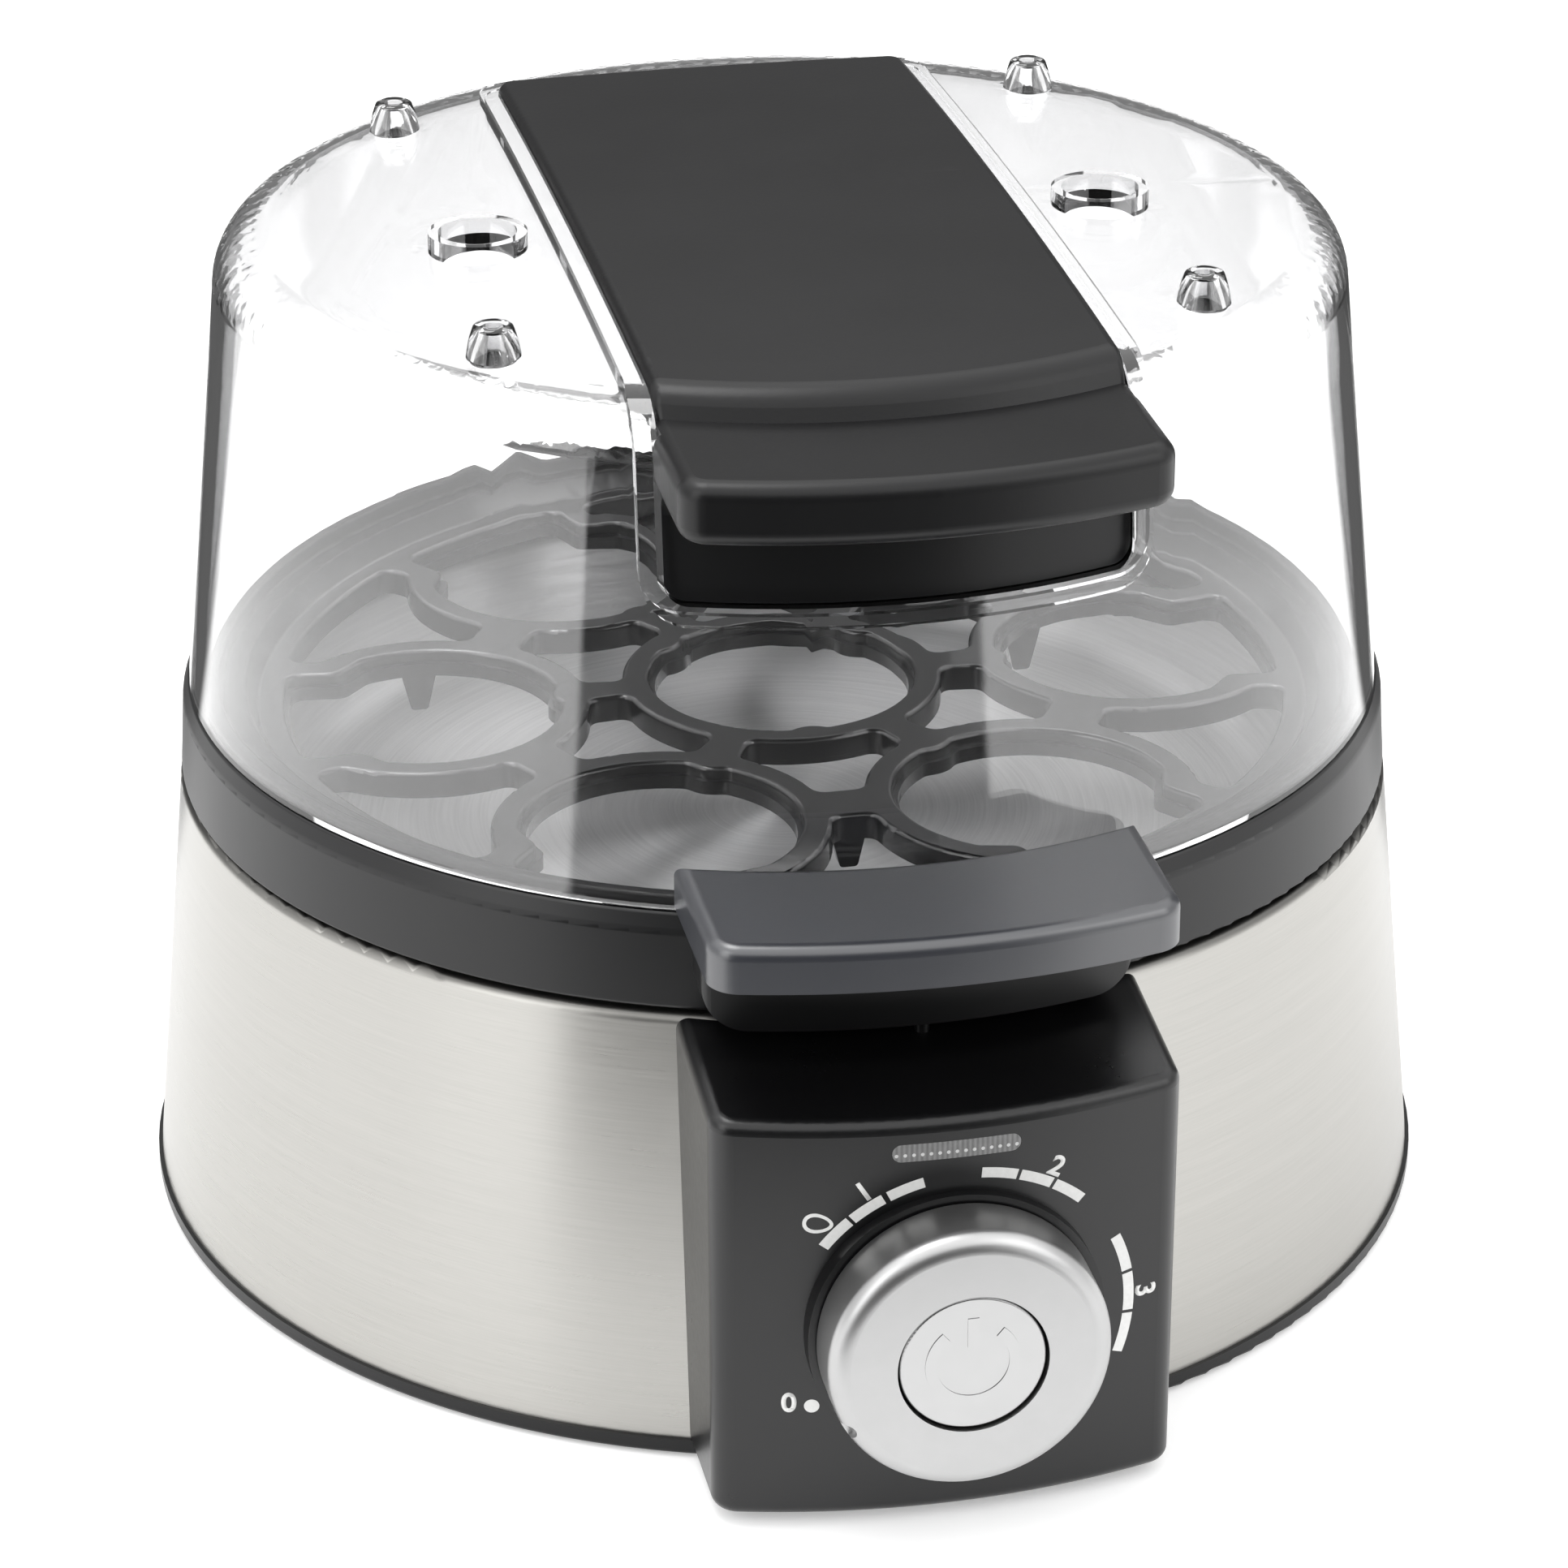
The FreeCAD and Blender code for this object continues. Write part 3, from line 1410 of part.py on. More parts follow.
def board_screws():
    back_y = board_front_y + board_thickness
    screws = []
    for x, z in board_post_places():
        head = level(small_head_radius, back_y, back_y + small_head_height, x, z)
        shank = level(small_screw_radius, back_y, board_front_y - small_screw_length + overrun, x, z)
        screws.append(head.fuse(shank))
    return group(screws)


def indicator_leds():
    lamps = []
    for i in (-1, 0, 1):
        lamp = level(led_radius, board_front_y, board_front_y - led_length, i * led_spacing, lens_z)
        tip = Part.makeSphere(led_radius, vector(i * led_spacing, board_front_y - led_length, lens_z))
        lamps.append(lamp.fuse(tip))
    return group(lamps)


def on_board_back(size, place):
    """Block standing on the rear face of the board."""
    width, depth, height = size
    x, z = place
    back_y = board_front_y + board_thickness
    low = (x - width / 2, back_y, z - height / 2)
    high = (x + width / 2, back_y + depth, z + height / 2)
    return box_between(low, high)


def relay():
    return on_board_back(relay_size, relay_place)


def terminal_block():
    return on_board_back(terminal_block_size, terminal_block_place)


def capacitor():
    x, z = capacitor_place
    return level(capacitor_radius, board_front_y, board_front_y - capacitor_length, x, z)


def buzzer():
    x, z = buzzer_place
    body = level(buzzer_radius, board_front_y, board_front_y - buzzer_height, x, z)
    return body.cut(level(led_radius, board_front_y - buzzer_height / 2,
                          board_front_y - buzzer_height - overrun, x, z))


def parts():
    """Every sub-part by its node name."""
    return {
        "bottom_housing": bottom_housing(),
        "foot_pads": foot_pads(),
        "tie_screws": tie_screws(),
        "outer_shell": outer_shell(),
        "pan_gasket": pan_gasket(),
        "boiling_pan": boiling_pan(),
        "heat_spreader": heat_spreader(),
        "heating_element": element_tube(),
        "element_terminals": element_terminals(),
        "pan_studs": pan_studs(),
        "thermostat": thermostat(),
        "temperature_sensor": temperature_sensor(),
        "thermal_fuse": thermal_fuse(),
        "sensor_strap": sensor_strap(),
        "cord_gland": cord_gland(),
        "control_box": control_box(),
        "control_box_screws": control_box_screws(),
        "indicator_lens": indicator_lens(),
        "dial_bezel": dial_bezel(),
        "circuit_board": circuit_board(),
        "board_screws": board_screws(),
        "indicator_leds": indicator_leds(),
        "relay": relay(),
        "terminal_block": terminal_block(),
        "capacitor": capacitor(),
        "buzzer": buzzer(),
        "dial_sensor": dial_sensor(),
        "sensor_nut": sensor_nut(),
        "button_sleeve": button_sleeve(),
        "push_switch": push_switch(),
        "timer_knob": timer_knob(),
        "knob_hub": knob_hub(),
        "start_button": start_button(),
        "button_stem": button_stem(),
        "switch_plunger": switch_plunger(),
        "egg_carrier": egg_carrier(),
        "carrier_handle_front": handle_cover(),
        "handle_screws": handle_screws(),
        "lid_dome": lid_dome(),
        "lid_band": lid_band(),
        "band_screws": band_screws(),
    }


def main():
    os.makedirs("parts", exist_ok=True)
    for name, shape in parts().items():
        shape.exportStep("parts/" + name + ".step")
        print(name, "solids", len(shape.Solids), "valid", shape.isValid(), "volume", round(shape.Volume, 1))


main()
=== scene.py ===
"""Looks of the egg boiler: finishes of its pieces, the marks of its dial, and a plain studio."""

from math import cos, pi, radians, sin, sqrt, tan

import bmesh
import bpy
from bpy.props import FloatProperty, FloatVectorProperty, PointerProperty
from mathutils import Matrix, Vector


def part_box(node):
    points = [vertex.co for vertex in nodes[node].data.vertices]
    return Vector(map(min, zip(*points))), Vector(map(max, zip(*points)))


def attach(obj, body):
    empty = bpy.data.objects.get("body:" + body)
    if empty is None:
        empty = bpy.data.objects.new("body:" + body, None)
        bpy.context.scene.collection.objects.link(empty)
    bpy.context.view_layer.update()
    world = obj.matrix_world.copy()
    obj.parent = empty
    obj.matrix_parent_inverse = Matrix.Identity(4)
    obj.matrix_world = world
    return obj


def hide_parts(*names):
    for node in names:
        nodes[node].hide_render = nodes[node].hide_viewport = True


bl_info = {
    "name": "Egg boiler looks",
    "version": (1, 0, 0),
    "blender": (4, 5, 0),
    "location": "3D View > Sidebar > Egg boiler",
    "description": "Finishes, dial marks and a plain studio for an egg boiler",
    "category": "Object",
}

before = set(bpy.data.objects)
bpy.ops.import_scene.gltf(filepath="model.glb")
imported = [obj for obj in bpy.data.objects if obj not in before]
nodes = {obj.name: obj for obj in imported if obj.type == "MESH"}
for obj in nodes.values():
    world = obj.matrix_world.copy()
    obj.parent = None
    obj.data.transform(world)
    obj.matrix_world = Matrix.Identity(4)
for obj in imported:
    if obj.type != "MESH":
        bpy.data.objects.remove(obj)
lens_low, lens_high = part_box("indicator_lens")
bezel_low, bezel_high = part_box("dial_bezel")
button_low, button_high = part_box("start_button")
box_low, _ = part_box("control_box")
_, shell_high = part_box("outer_shell")

MM = 0.001

# Cones and vent collars of the lid: where they stand in the CAD, and how they are reshaped
CONE_PLACE = 50.5 * MM
CONE_REACH = 4.3 * MM
CONE_HEIGHT = 6.2 * MM
CONE_LOWER = 0.74
CONE_SCALES = (1.0, 1.4)
HOLLOW_RADII = (3.9 * MM, 1.4 * MM)
HOLLOW_DEPTH = 4.0 * MM
HOLLOW_ROOF = 1.3 * MM
VENT_PLACE = (46.4 * MM, -9.0 * MM)
VENT_REACH = 7.8 * MM
VENT_HEIGHT = 3.2 * MM
VENT_LOWER = 0.82
VENT_SCALES = (0.94, 0.94)
SHARP_EDGE = radians(35.0)

# Zones of the finishes: the carrier's gloss tray and the panel on its rim, and the painted shade at
# the top of the shell
TRAY_EDGE = (80.0 * MM, 83.0 * MM)
PANEL_SIDE = 44.6 * MM
PANEL_RADIUS = 97.0 * MM
PANEL_DEPTH = 0.2 * MM
# Where the painted shade below the shell's top edge starts and ends, measured down from its top
LIP_SHADE_START = 1.2 * MM
LIP_SHADE_END = 0.4 * MM

# Marks round the knob: angles in degrees, anticlockwise from the right
ARC_SPANS = ((131.6, 144.0), (118.2, 130.4), (104.0, 116.4), (72.6, 84.8), (59.6, 71.4),
             (46.4, 58.4), (10.5, 25.1), (-5.0, 9.3), (-20.6, -6.2))
ARC_STEP = 3.0
DOT_SIZE = 1.05 * MM
DOT_PLACE = (208.0, 24.0 * MM)
EGG_SIZE = (2.1 * MM, 1.5 * MM, 0.5 * MM)
EGG_TAPER = 0.22
EGG_TILT = -8.0
EGG_PLACE = (138.6, 27.1 * MM)
NUMERALS = (("0", 204.0, 0.0), ("1", 122.0, 32.0), ("2", 61.0, -29.0), ("3", 1.0, -89.0))
NUMERAL_BOLD = 0.028

# The open ring and the bar on the button
SYMBOL_LINE = 1.6 * MM
SYMBOL_SPAN = (130.0, 410.0)
SYMBOL_HEIGHT = 0.22 * MM
SYMBOL_SINK = 0.1 * MM
BAR_FOOT = 2.6 * MM
BAR_LENGTH = 4.5 * MM

# Colours that no one needs to change
WHITE = (1.0, 1.0, 1.0, 1.0)
PAPER = (0.78, 0.78, 0.78)
SOOT = (0.02, 0.02, 0.02)
ZINC = (0.55, 0.56, 0.57)
ALUMINIUM = (0.80, 0.80, 0.81)
ELEMENT_STEEL = (0.30, 0.28, 0.26)
CERAMIC = (0.75, 0.74, 0.70)
BOARD_GREEN = (0.03, 0.16, 0.05)
LED_AMBER = (0.85, 0.42, 0.05)

# The room: soft edges of its dark parts, where its ceiling starts, and the lens
GAP_EDGE = 0.02
TABLE_EDGE = 0.05
SWEEP_EDGE = (0.115, 0.13)
FLAG_EDGE = 0.03
BACK_EDGE = 0.1
CEILING_RISE = (0.42, 0.64)
LAMP_AIM = (0.0, 0.0, 0.08)
LENS_SHIFT = (0.0010, 0.0191)


# Sizes and colours that a user may change

def length(name, description, default):
    """A length in metres."""
    return FloatProperty(name=name, description=description, default=default,
                         unit="LENGTH", precision=4)


def turn(name, description, default):
    """An angle, whose default is in degrees."""
    return FloatProperty(name=name, description=description, default=radians(default),
                         unit="ROTATION")


def colour(name, description, default):
    """A colour of red, green and blue."""
    return FloatVectorProperty(name=name, description=description, default=default,
                               subtype="COLOR", min=0, max=1)


def share(name, description, default):
    """A strength of light, where 1 is white."""
    return FloatProperty(name=name, description=description, default=default,
                         min=0, soft_max=1)


class EggBoilerFinishes(bpy.types.PropertyGroup):
    """Colours of the finishes."""

    satin_black: colour("Satin black", "Colour of the satin mouldings", (0.005, 0.005, 0.0055))
    gloss_black: colour("Gloss black", "Colour of the egg carrier", (0.003, 0.003, 0.0035))
    shell_steel: colour("Shell steel", "Colour of the brushed shell", (0.445, 0.437, 0.415))
    pan_steel: colour("Pan steel", "Colour of the turned pan floor", (0.86, 0.86, 0.86))
    knob_metal: colour("Knob metal", "Colour of the knob's satin cap", (0.48, 0.48, 0.48))
    # partly the cover's own near-black colour, partly painted reflection: its lift and grey-blue
    # tint stand in for the sky's sheen on its top
    handle_tone_and_sheen: colour("Handle grey", "Colour of the carrier's grip cover", (0.021, 0.023, 0.030))
    lid_clear: colour("Lid", "Tint of the clear lid", (0.982, 0.982, 0.987))
    mark_grey: colour("Marks", "Colour of the printed marks", (0.62, 0.62, 0.61))
    grain_depth: length("Grain depth", "Depth of the moulded grain", 0.000004)


class EggBoilerDial(bpy.types.PropertyGroup):
    """Sizes of the dial's printed marks."""

    arc_radius: length("Arc radius", "Middle radius of the segmented arcs", 0.0242)
    arc_width: length("Arc width", "Width of the segmented arcs", 0.00155)
    ink_height: length("Ink height", "How far the marks stand on the face", 0.00004)
    numeral_height: length("Numeral height", "Size of the numerals", 0.0042)
    numeral_radius: length("Numeral radius", "Radius on which the numerals stand", 0.0266)
    rib_pitch: length("Rib pitch", "Distance between the ribs of the lens", 0.0007)
    dot_pitch: length("Dot pitch", "Distance between the bright dots of the lens", 0.0012)
    dot_drop: length("Dot drop", "How far the dots lie below the middle of the lens", 0.00035)
    dot_radius: length("Dot radius", "Radius of the bright dots of the lens", 0.00026)
    symbol_radius: length("Symbol radius", "Radius of the ring on the button", 0.0059)
    mark_shift: length("Mark shift", "How far the marks lie right of the knob's axis", 0.0013)
    mark_drop: length("Mark drop", "How far the marks lie below the knob's axis", 0.0006)


class EggBoilerStage(bpy.types.PropertyGroup):
    """Camera, floor and light."""

    azimuth: turn("Azimuth", "Camera angle round the boiler from the front", -11.6)
    elevation: turn("Elevation", "Camera angle above the table", 25.911)
    roll: turn("Roll", "Turn of the picture", -0.243)
    distance: length("Distance", "Camera distance from the aim", 0.7834)
    aim_height: length("Aim height", "Height of the point that the camera aims at", 0.0545)
    focal_length: FloatProperty(name="Focal length", description="Lens on a 36 mm sensor",
                                default=114.9)
    floor_size: length("Floor size", "Half the side of the floor", 2.5)
    table_front: length("Table front", "Where the dark gap starts on the table", 0.205)
    gap_turn: turn("Gap", "Half the dark gap that the white room has round the camera", 36.0)
    gap_light: share("Gap light", "Brightness of the dark gap", 0.06)
    sweep_turn: turn("Sweep", "Half the turn that the white floor takes up behind the boiler", 9.0)
    flag_turn: turn("Flags", "Half the turn at which the dark flags end", 50.0)
    flag_light: share("Flag light", "Brightness of the dark flags in gloss and glass", 0.12)
    back_light: share("Back light", "Brightness of the room low behind the boiler", 0.20)
    ceiling_light: share("Ceiling light", "Brightness of the ceiling in gloss and glass", 1.7)
    clear_gap: share("Clear gap", "Brightness of the gap seen through clear pieces", 0.45)
    floor_lift: share("Floor lift", "White that the floor and its mirror images gain", 0.34)
    room_light: share("Room light", "Strength of the even light of the room", 0.45)
    key_power: FloatProperty(name="Key power", description="Watts of the overhead softbox",
                             default=4.5)
    fill_power: FloatProperty(name="Fill power", description="Watts of the side softboxes",
                              default=2.5)


# Shader nodes

class Value:
    """A shader value: an expression on it adds its Math nodes."""

    def __init__(self, finish, socket):
        self.finish = finish
        self.socket = socket

    def maths(self, operation, first, second):
        settings = {"operation": operation}
        return self.finish.node("ShaderNodeMath", settings, {0: first, 1: second})[0]

    def __add__(self, other):
        return self.maths("ADD", self, other)

    def __sub__(self, other):
        return self.maths("SUBTRACT", self, other)

    def __rsub__(self, other):
        return self.maths("SUBTRACT", other, self)

    def __mul__(self, other):
        return self.maths("MULTIPLY", self, other)

    def __truediv__(self, other):
        return self.maths("DIVIDE", self, other)

    def __pow__(self, other):
        return self.maths("POWER", self, other)

    def greater(self, other):
        return self.maths("GREATER_THAN", self, other)

    def largest(self, other):
        return self.maths("MAXIMUM", self, other)

    def size(self):
        return self.maths("ABSOLUTE", self, 0.0)

    def zigzag(self, height):
        return self.maths("PINGPONG", self, height)


class Finish:
    """A node tree that is written as expressions."""

    def __init__(self, tree, output):
        self.tree = tree
        self.tree.nodes.clear()
        self.output = self.tree.nodes.new(output)

    def node(self, kind, settings, sockets):
        """Adds a node, sets its settings, then its sockets, and returns its outputs."""
        made = self.tree.nodes.new(kind)
        for name, setting in settings.items():
            setattr(made, name, setting)
        for name, value in sockets.items():
            if isinstance(value, Value):
                self.tree.links.new(value.socket, made.inputs[name])
            else:
                made.inputs[name].default_value = value
        return [Value(self, socket) for socket in made.outputs]

    def place(self):
        """The point on the piece, in metres."""
        return self.node("ShaderNodeTexCoord", {}, {})[3]

    def parts(self, vector):
        return self.node("ShaderNodeSeparateXYZ", {}, {0: vector})

    def joined(self, x, y, z):
        return self.node("ShaderNodeCombineXYZ", {}, {0: x, 1: y, 2: z})[0]

    def stretched(self, vector, x, y, z):
        settings = {"operation": "MULTIPLY"}
        return self.node("ShaderNodeVectorMath", settings, {0: vector, 1: (x, y, z)})[0]

    def noise(self, vector, scale, detail=2.0):
        sockets = {"Vector": vector, "Scale": scale, "Detail": detail}
        return self.node("ShaderNodeTexNoise", {}, sockets)[0]

    def mixed(self, factor, first, second):
        """A colour between two colours."""
        sockets = {0: factor, 6: first, 7: second}
        return self.node("ShaderNodeMix", {"data_type": "RGBA"}, sockets)[2]

    def ramp(self, value, start, end):
        """A smooth step from 0 to 1."""
        settings = {"interpolation_type": "SMOOTHSTEP"}
        sockets = {0: value, 1: start, 2: end, 3: 0.0, 4: 1.0}
        return self.node("ShaderNodeMapRange", settings, sockets)[0]

    def bump(self, height, distance, strength=1.0):
        sockets = {"Height": height, "Distance": distance, "Strength": strength}
        return self.node("ShaderNodeBump", {}, sockets)[0]

    def shader(self, sockets):
        return self.node("ShaderNodeBsdfPrincipled", {}, sockets)[0]

    def matt(self, rgba):
        return self.node("ShaderNodeBsdfDiffuse", {}, {"Color": rgba})[0]

    def glow(self, strength):
        """White light of its own."""
        return self.node("ShaderNodeEmission", {}, {"Color": WHITE, "Strength": strength})[0]

    def either(self, factor, first, second):
        """A shader between two shaders."""
        return self.node("ShaderNodeMixShader", {}, {0: factor, 1: first, 2: second})[0]

    def finish(self, surface):
        self.tree.links.new(surface.socket, self.output.inputs[0])


def new_finish(name):
    """A material, and its node tree to write in."""
    material = bpy.data.materials.new(name)
    material.use_nodes = True
    return material, Finish(material.node_tree, "ShaderNodeOutputMaterial")


def opaque(rgb):
    """A colour with its alpha."""
    return (rgb[0], rgb[1], rgb[2], 1.0)


def tinted(rgb, factor):
    """A colour made darker or paler, with its alpha."""
    return (rgb[0] * factor, rgb[1] * factor, rgb[2] * factor, 1.0)


# Finishes

def moulded_finish(name, rgb, roughness, grain, grain_scale=2600.0, ior=1.5):
    """Moulded plastic: fine grain, and a gloss that varies a little with handling."""
    material, f = new_finish(name)
    point = f.place()
    handled = f.noise(point, 38.0, 4.0)
    fine = f.noise(point, grain_scale, 2.0)
    specks = f.noise(point, 900.0, 3.0)
    shade = f.mixed(handled, tinted(rgb, 0.85), tinted(rgb, 1.2))
    rough = (handled - 0.5) * 0.10 + (specks - 0.5) * 0.06 + roughness
    f.finish(f.shader({
        "Base Color": shade,
        "Roughness": rough,
        "IOR": ior,
        "Normal": f.bump(fine, grain),
    }))
    return material


def carrier_finish(name, rgb, grain):
    """Black moulding: a gloss tray inside a satin rim, with a shallow panel on the rim's front."""
    material, f = new_finish(name)
    point = f.place()
    x, y, _ = f.parts(point)
    radius = (x * x + y * y) ** 0.5
    handled = f.noise(point, 38.0, 4.0)
    fine = f.noise(point, 2200.0, 2.0)
    front = (0.0 - y).greater(0.0)
    panel = (x.size() - PANEL_SIDE).greater(0.0) * radius.greater(PANEL_RADIUS) * front
    f.finish(f.shader({
        "Base Color": f.mixed(handled, tinted(rgb, 0.85), tinted(rgb, 1.2)),
        "Roughness": (handled - 0.5) * 0.06 + 0.38,
        "IOR": 1.5,
        "Coat Weight": 1.0 - f.ramp(radius, *TRAY_EDGE),
        "Coat IOR": 1.65,
        "Coat Roughness": 0.04,
        "Normal": f.bump(fine * grain * (1.0 / PANEL_DEPTH) + panel, PANEL_DEPTH),
    }))
    return material


def shell_finish(name, rgb):
    """Steel brushed round the shell: level streaks that spread the light, and painted shade that
    darkens the steel just below its top edge, under the ring.
    """
    material, f = new_finish(name)
    point = f.place()
    _, _, z = f.parts(point)
    streaks = f.noise(f.stretched(point, 90.0, 90.0, 4600.0), 1.0, 3.0)
    long_streaks = f.noise(f.stretched(point, 9.0, 9.0, 900.0), 1.0, 3.0)
    clouds = f.noise(point, 14.0, 2.0)
    # painted shade: the steel darkens to about a third of its colour just below its top edge, where
    # the ring shades it
    lip_shade = f.ramp(z, shell_high.z - LIP_SHADE_START, shell_high.z - LIP_SHADE_END)
    shade = f.mixed(streaks * 0.7 + long_streaks * 0.3, tinted(rgb, 0.86), tinted(rgb, 1.10))
    shade = f.mixed(lip_shade, shade, tinted(rgb, 0.35))
    f.finish(f.shader({
        "Base Color": shade,
        "Metallic": 1.0,
        "Roughness": (streaks - 0.5) * 0.12 + (clouds - 0.5) * 0.06 + 0.30,
        "Anisotropic": 0.75,
        "Anisotropic Rotation": 0.25,
        "Normal": f.bump(streaks, 0.000004),
    }))
    return material


def turned_finish(name, rgb, rings=3000.0, roughness=0.48):
    """Metal turned about the boiler's axis."""
    material, f = new_finish(name)
    across, along, _ = f.parts(f.place())
    radius = (across * across + along * along) ** 0.5
    streaks = f.noise(f.joined(across * 60.0, along * 60.0, radius * rings), 1.0, 4.0)
    sweep = f.noise(f.joined(across * 9.0, along * 9.0, radius * 1100.0), 1.0, 2.0)
    shade = f.mixed(streaks * 0.7 + sweep * 0.3, tinted(rgb, 0.70), tinted(rgb, 1.16))
    f.finish(f.shader({
        "Base Color": shade,
        "Metallic": 0.75,
        "Roughness": (streaks - 0.5) * 0.20 + roughness,
        "Anisotropic": 0.85,
        "Anisotropic Rotation": 0.25,
        "Normal": f.bump(streaks, 0.000006),
    }))
    return material


def metal_finish(name, rgb, roughness):
    """Plain metal with a slightly uneven surface."""
    material, f = new_finish(name)
    point = f.place()
    cloudy = f.noise(point, 260.0, 3.0)
    fine = f.noise(point, 3000.0, 2.0)
    f.finish(f.shader({
        "Base Color": f.mixed(cloudy, tinted(rgb, 0.94), tinted(rgb, 1.04)),
        "Metallic": 1.0,
        "Roughness": (cloudy - 0.5) * 0.05 + roughness,
        "Normal": f.bump(fine, 0.000004),
    }))
    return material


def lid_finish(name, rgb):
    """Clear moulded plastic with a faint unevenness."""
    material, f = new_finish(name)
    point = f.place()
    flow = f.noise(point, 26.0, 1.0)
    f.finish(f.shader({
        "Base Color": opaque(rgb),
        "Roughness": 0.0,
        "IOR": 1.75,
        "Transmission Weight": 1.0,
        "Normal": f.bump(flow, 0.00003, 0.5),
    }))
    return material


def lens_finish(name, dial):
    """Clear strip with fine upright ribs and a row of bright dots along its lower half."""
    material, f = new_finish(name)
    x, _, z = f.parts(f.place())
    rise = z - (lens_low.z + lens_high.z) / 2
    rib = x.zigzag(dial.rib_pitch / 2) / (dial.rib_pitch / 2)
    aside = x.zigzag(dial.dot_pitch / 2)
    above = rise + dial.dot_drop
    dots = (dial.dot_radius - (aside * aside + above * above) ** 0.5).greater(0.0)
    patches = f.noise(f.place(), 900.0, 3.0)
    # partly random tone from the patches, partly painted light: each rib is paler along its crest
    # and darker in its valleys
    shade = f.mixed(rib * 0.5 + patches * 0.5, (0.03, 0.03, 0.03, 1.0), (0.17, 0.17, 0.17, 1.0))
    f.finish(f.shader({
        "Base Color": f.mixed(dots, shade, (0.45, 0.45, 0.45, 1.0)),
        "Roughness": patches * 0.2 + 0.12,
        "Coat Weight": 0.6,
        "Normal": f.bump(rib, 0.00006),
    }))
    return material


def ink_finish(name, rgb):
    """Printed ink with faint pinholes."""
    material, f = new_finish(name)
    point = f.place()
    mottle = f.noise(point, 1800.0, 2.0)
    f.finish(f.shader({
        "Base Color": f.mixed(mottle, tinted(rgb, 0.9), tinted(rgb, 1.08)),
        "Roughness": 0.45,
        "Normal": f.bump(mottle, 0.000008),
    }))
    return material


def dress(material, *names):
    """Gives CAD nodes a finish."""
    for name in names:
        for slot in nodes[name].material_slots:
            slot.material = material


# Shapes

def new_piece(name, shape, material, body):
    """Makes an object at the origin of a finished bmesh, and lets it ride on a body."""
    bmesh.ops.remove_doubles(shape, verts=shape.verts, dist=0.000001)
    bmesh.ops.recalc_face_normals(shape, faces=shape.faces)
    mesh = bpy.data.meshes.new(name)
    shape.to_mesh(mesh)
    shape.free()
    mesh.materials.append(material)
    piece = bpy.data.objects.new(name, mesh)
    bpy.context.scene.collection.objects.link(piece)
    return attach(piece, body)


def raise_faces(shape, faces, height):
    """Gives flat faces a thickness upwards."""
    raised = bmesh.ops.extrude_face_region(shape, geom=faces)["geom"]
    tops = [part for part in raised if isinstance(part, bmesh.types.BMVert)]
    bmesh.ops.translate(shape, verts=tops, vec=(0.0, 0.0, height))


def arc_strip(shape, radius, width, start, end, height):
    """A flat raised strip from one angle to another, in degrees."""
    turned = Matrix.Rotation(radians(start), 3, "Z")
    inner = shape.verts.new(turned @ Vector((radius - width / 2, 0.0, 0.0)))
    outer = shape.verts.new(turned @ Vector((radius + width / 2, 0.0, 0.0)))
    edge = shape.edges.new((inner, outer))
    before = set(shape.faces)
    steps = round(abs(end - start) / ARC_STEP) + 2
    bmesh.ops.spin(shape, geom=[inner, outer, edge], cent=(0.0, 0.0, 0.0), axis=(0.0, 0.0, 1.0),
                   angle=radians(end - start), steps=steps, use_merge=False, use_duplicate=False)
    raise_faces(shape, [face for face in shape.faces if face not in before], height)


def egg_ring(shape, half_length, half_width, line, height):
    """An egg's outline as a flat raised strip."""
    count = 48
    loops = []
    for inset in (0.0, line):
        loop = []
        for step in range(count):
            angle = 2.0 * pi * step / count
            narrower = 1.0 - EGG_TAPER * cos(angle)
            across = (half_length - inset) * cos(angle)
            up = (half_width - inset) * sin(angle) * narrower
            loop.append(shape.verts.new((across, up, 0.0)))
        loops.append(loop)
    outer, inner = loops
    faces = []
    for step in range(count):
        after = (step + 1) % count
        faces.append(shape.faces.new((outer[step], outer[after], inner[after], inner[step])))
    raise_faces(shape, faces, height)


def on_face(shape, dial):
    """Wraps a flat drawing on the curved face of the control box."""
    face_radius = -box_low.y
    centre_height = (bezel_low.z + bezel_high.z) / 2 - dial.mark_drop
    for vert in shape.verts:
        across, up, out = vert.co
        across += dial.mark_shift
        around = sqrt((face_radius + out - dial.ink_height) ** 2 - across ** 2)
        vert.co = (across, -around, centre_height + up)


# Operators

class EGGBOILER_OT_plastics(bpy.types.Operator):
    """Finish the black mouldings of the base, carrier and lid band"""

    bl_idname = "eggboiler.plastics"
    bl_label = "Black plastics"

    def execute(self, context):
        colours = context.scene.eggboiler_finishes
        grain = colours.grain_depth
        satin = moulded_finish("satin_plastic", colours.satin_black, roughness=0.36,
                               grain=grain * 2.0, grain_scale=1800.0, ior=1.4)
        dress(satin, "lid_band", "bottom_housing")
        # painted reflection in part: the grip cover's colour is lifted and tinted grey-blue for the
        # sheen on its top
        handle = moulded_finish("handle_plastic", colours.handle_tone_and_sheen, roughness=0.30,
                                grain=grain, ior=2.0)
        dress(handle, "carrier_handle_front")
        box = moulded_finish("box_plastic", colours.satin_black, roughness=0.30, grain=grain)
        dress(box, "control_box", "dial_bezel")
        tray = carrier_finish("carrier_plastic", colours.gloss_black, grain=grain * 0.3)
        dress(tray, "egg_carrier")
        rubber = moulded_finish("rubber", SOOT, roughness=0.75, grain=grain * 3.0,
                                grain_scale=1500.0)
        dress(rubber, "foot_pads", "cord_gland", "pan_gasket")
        return {"FINISHED"}


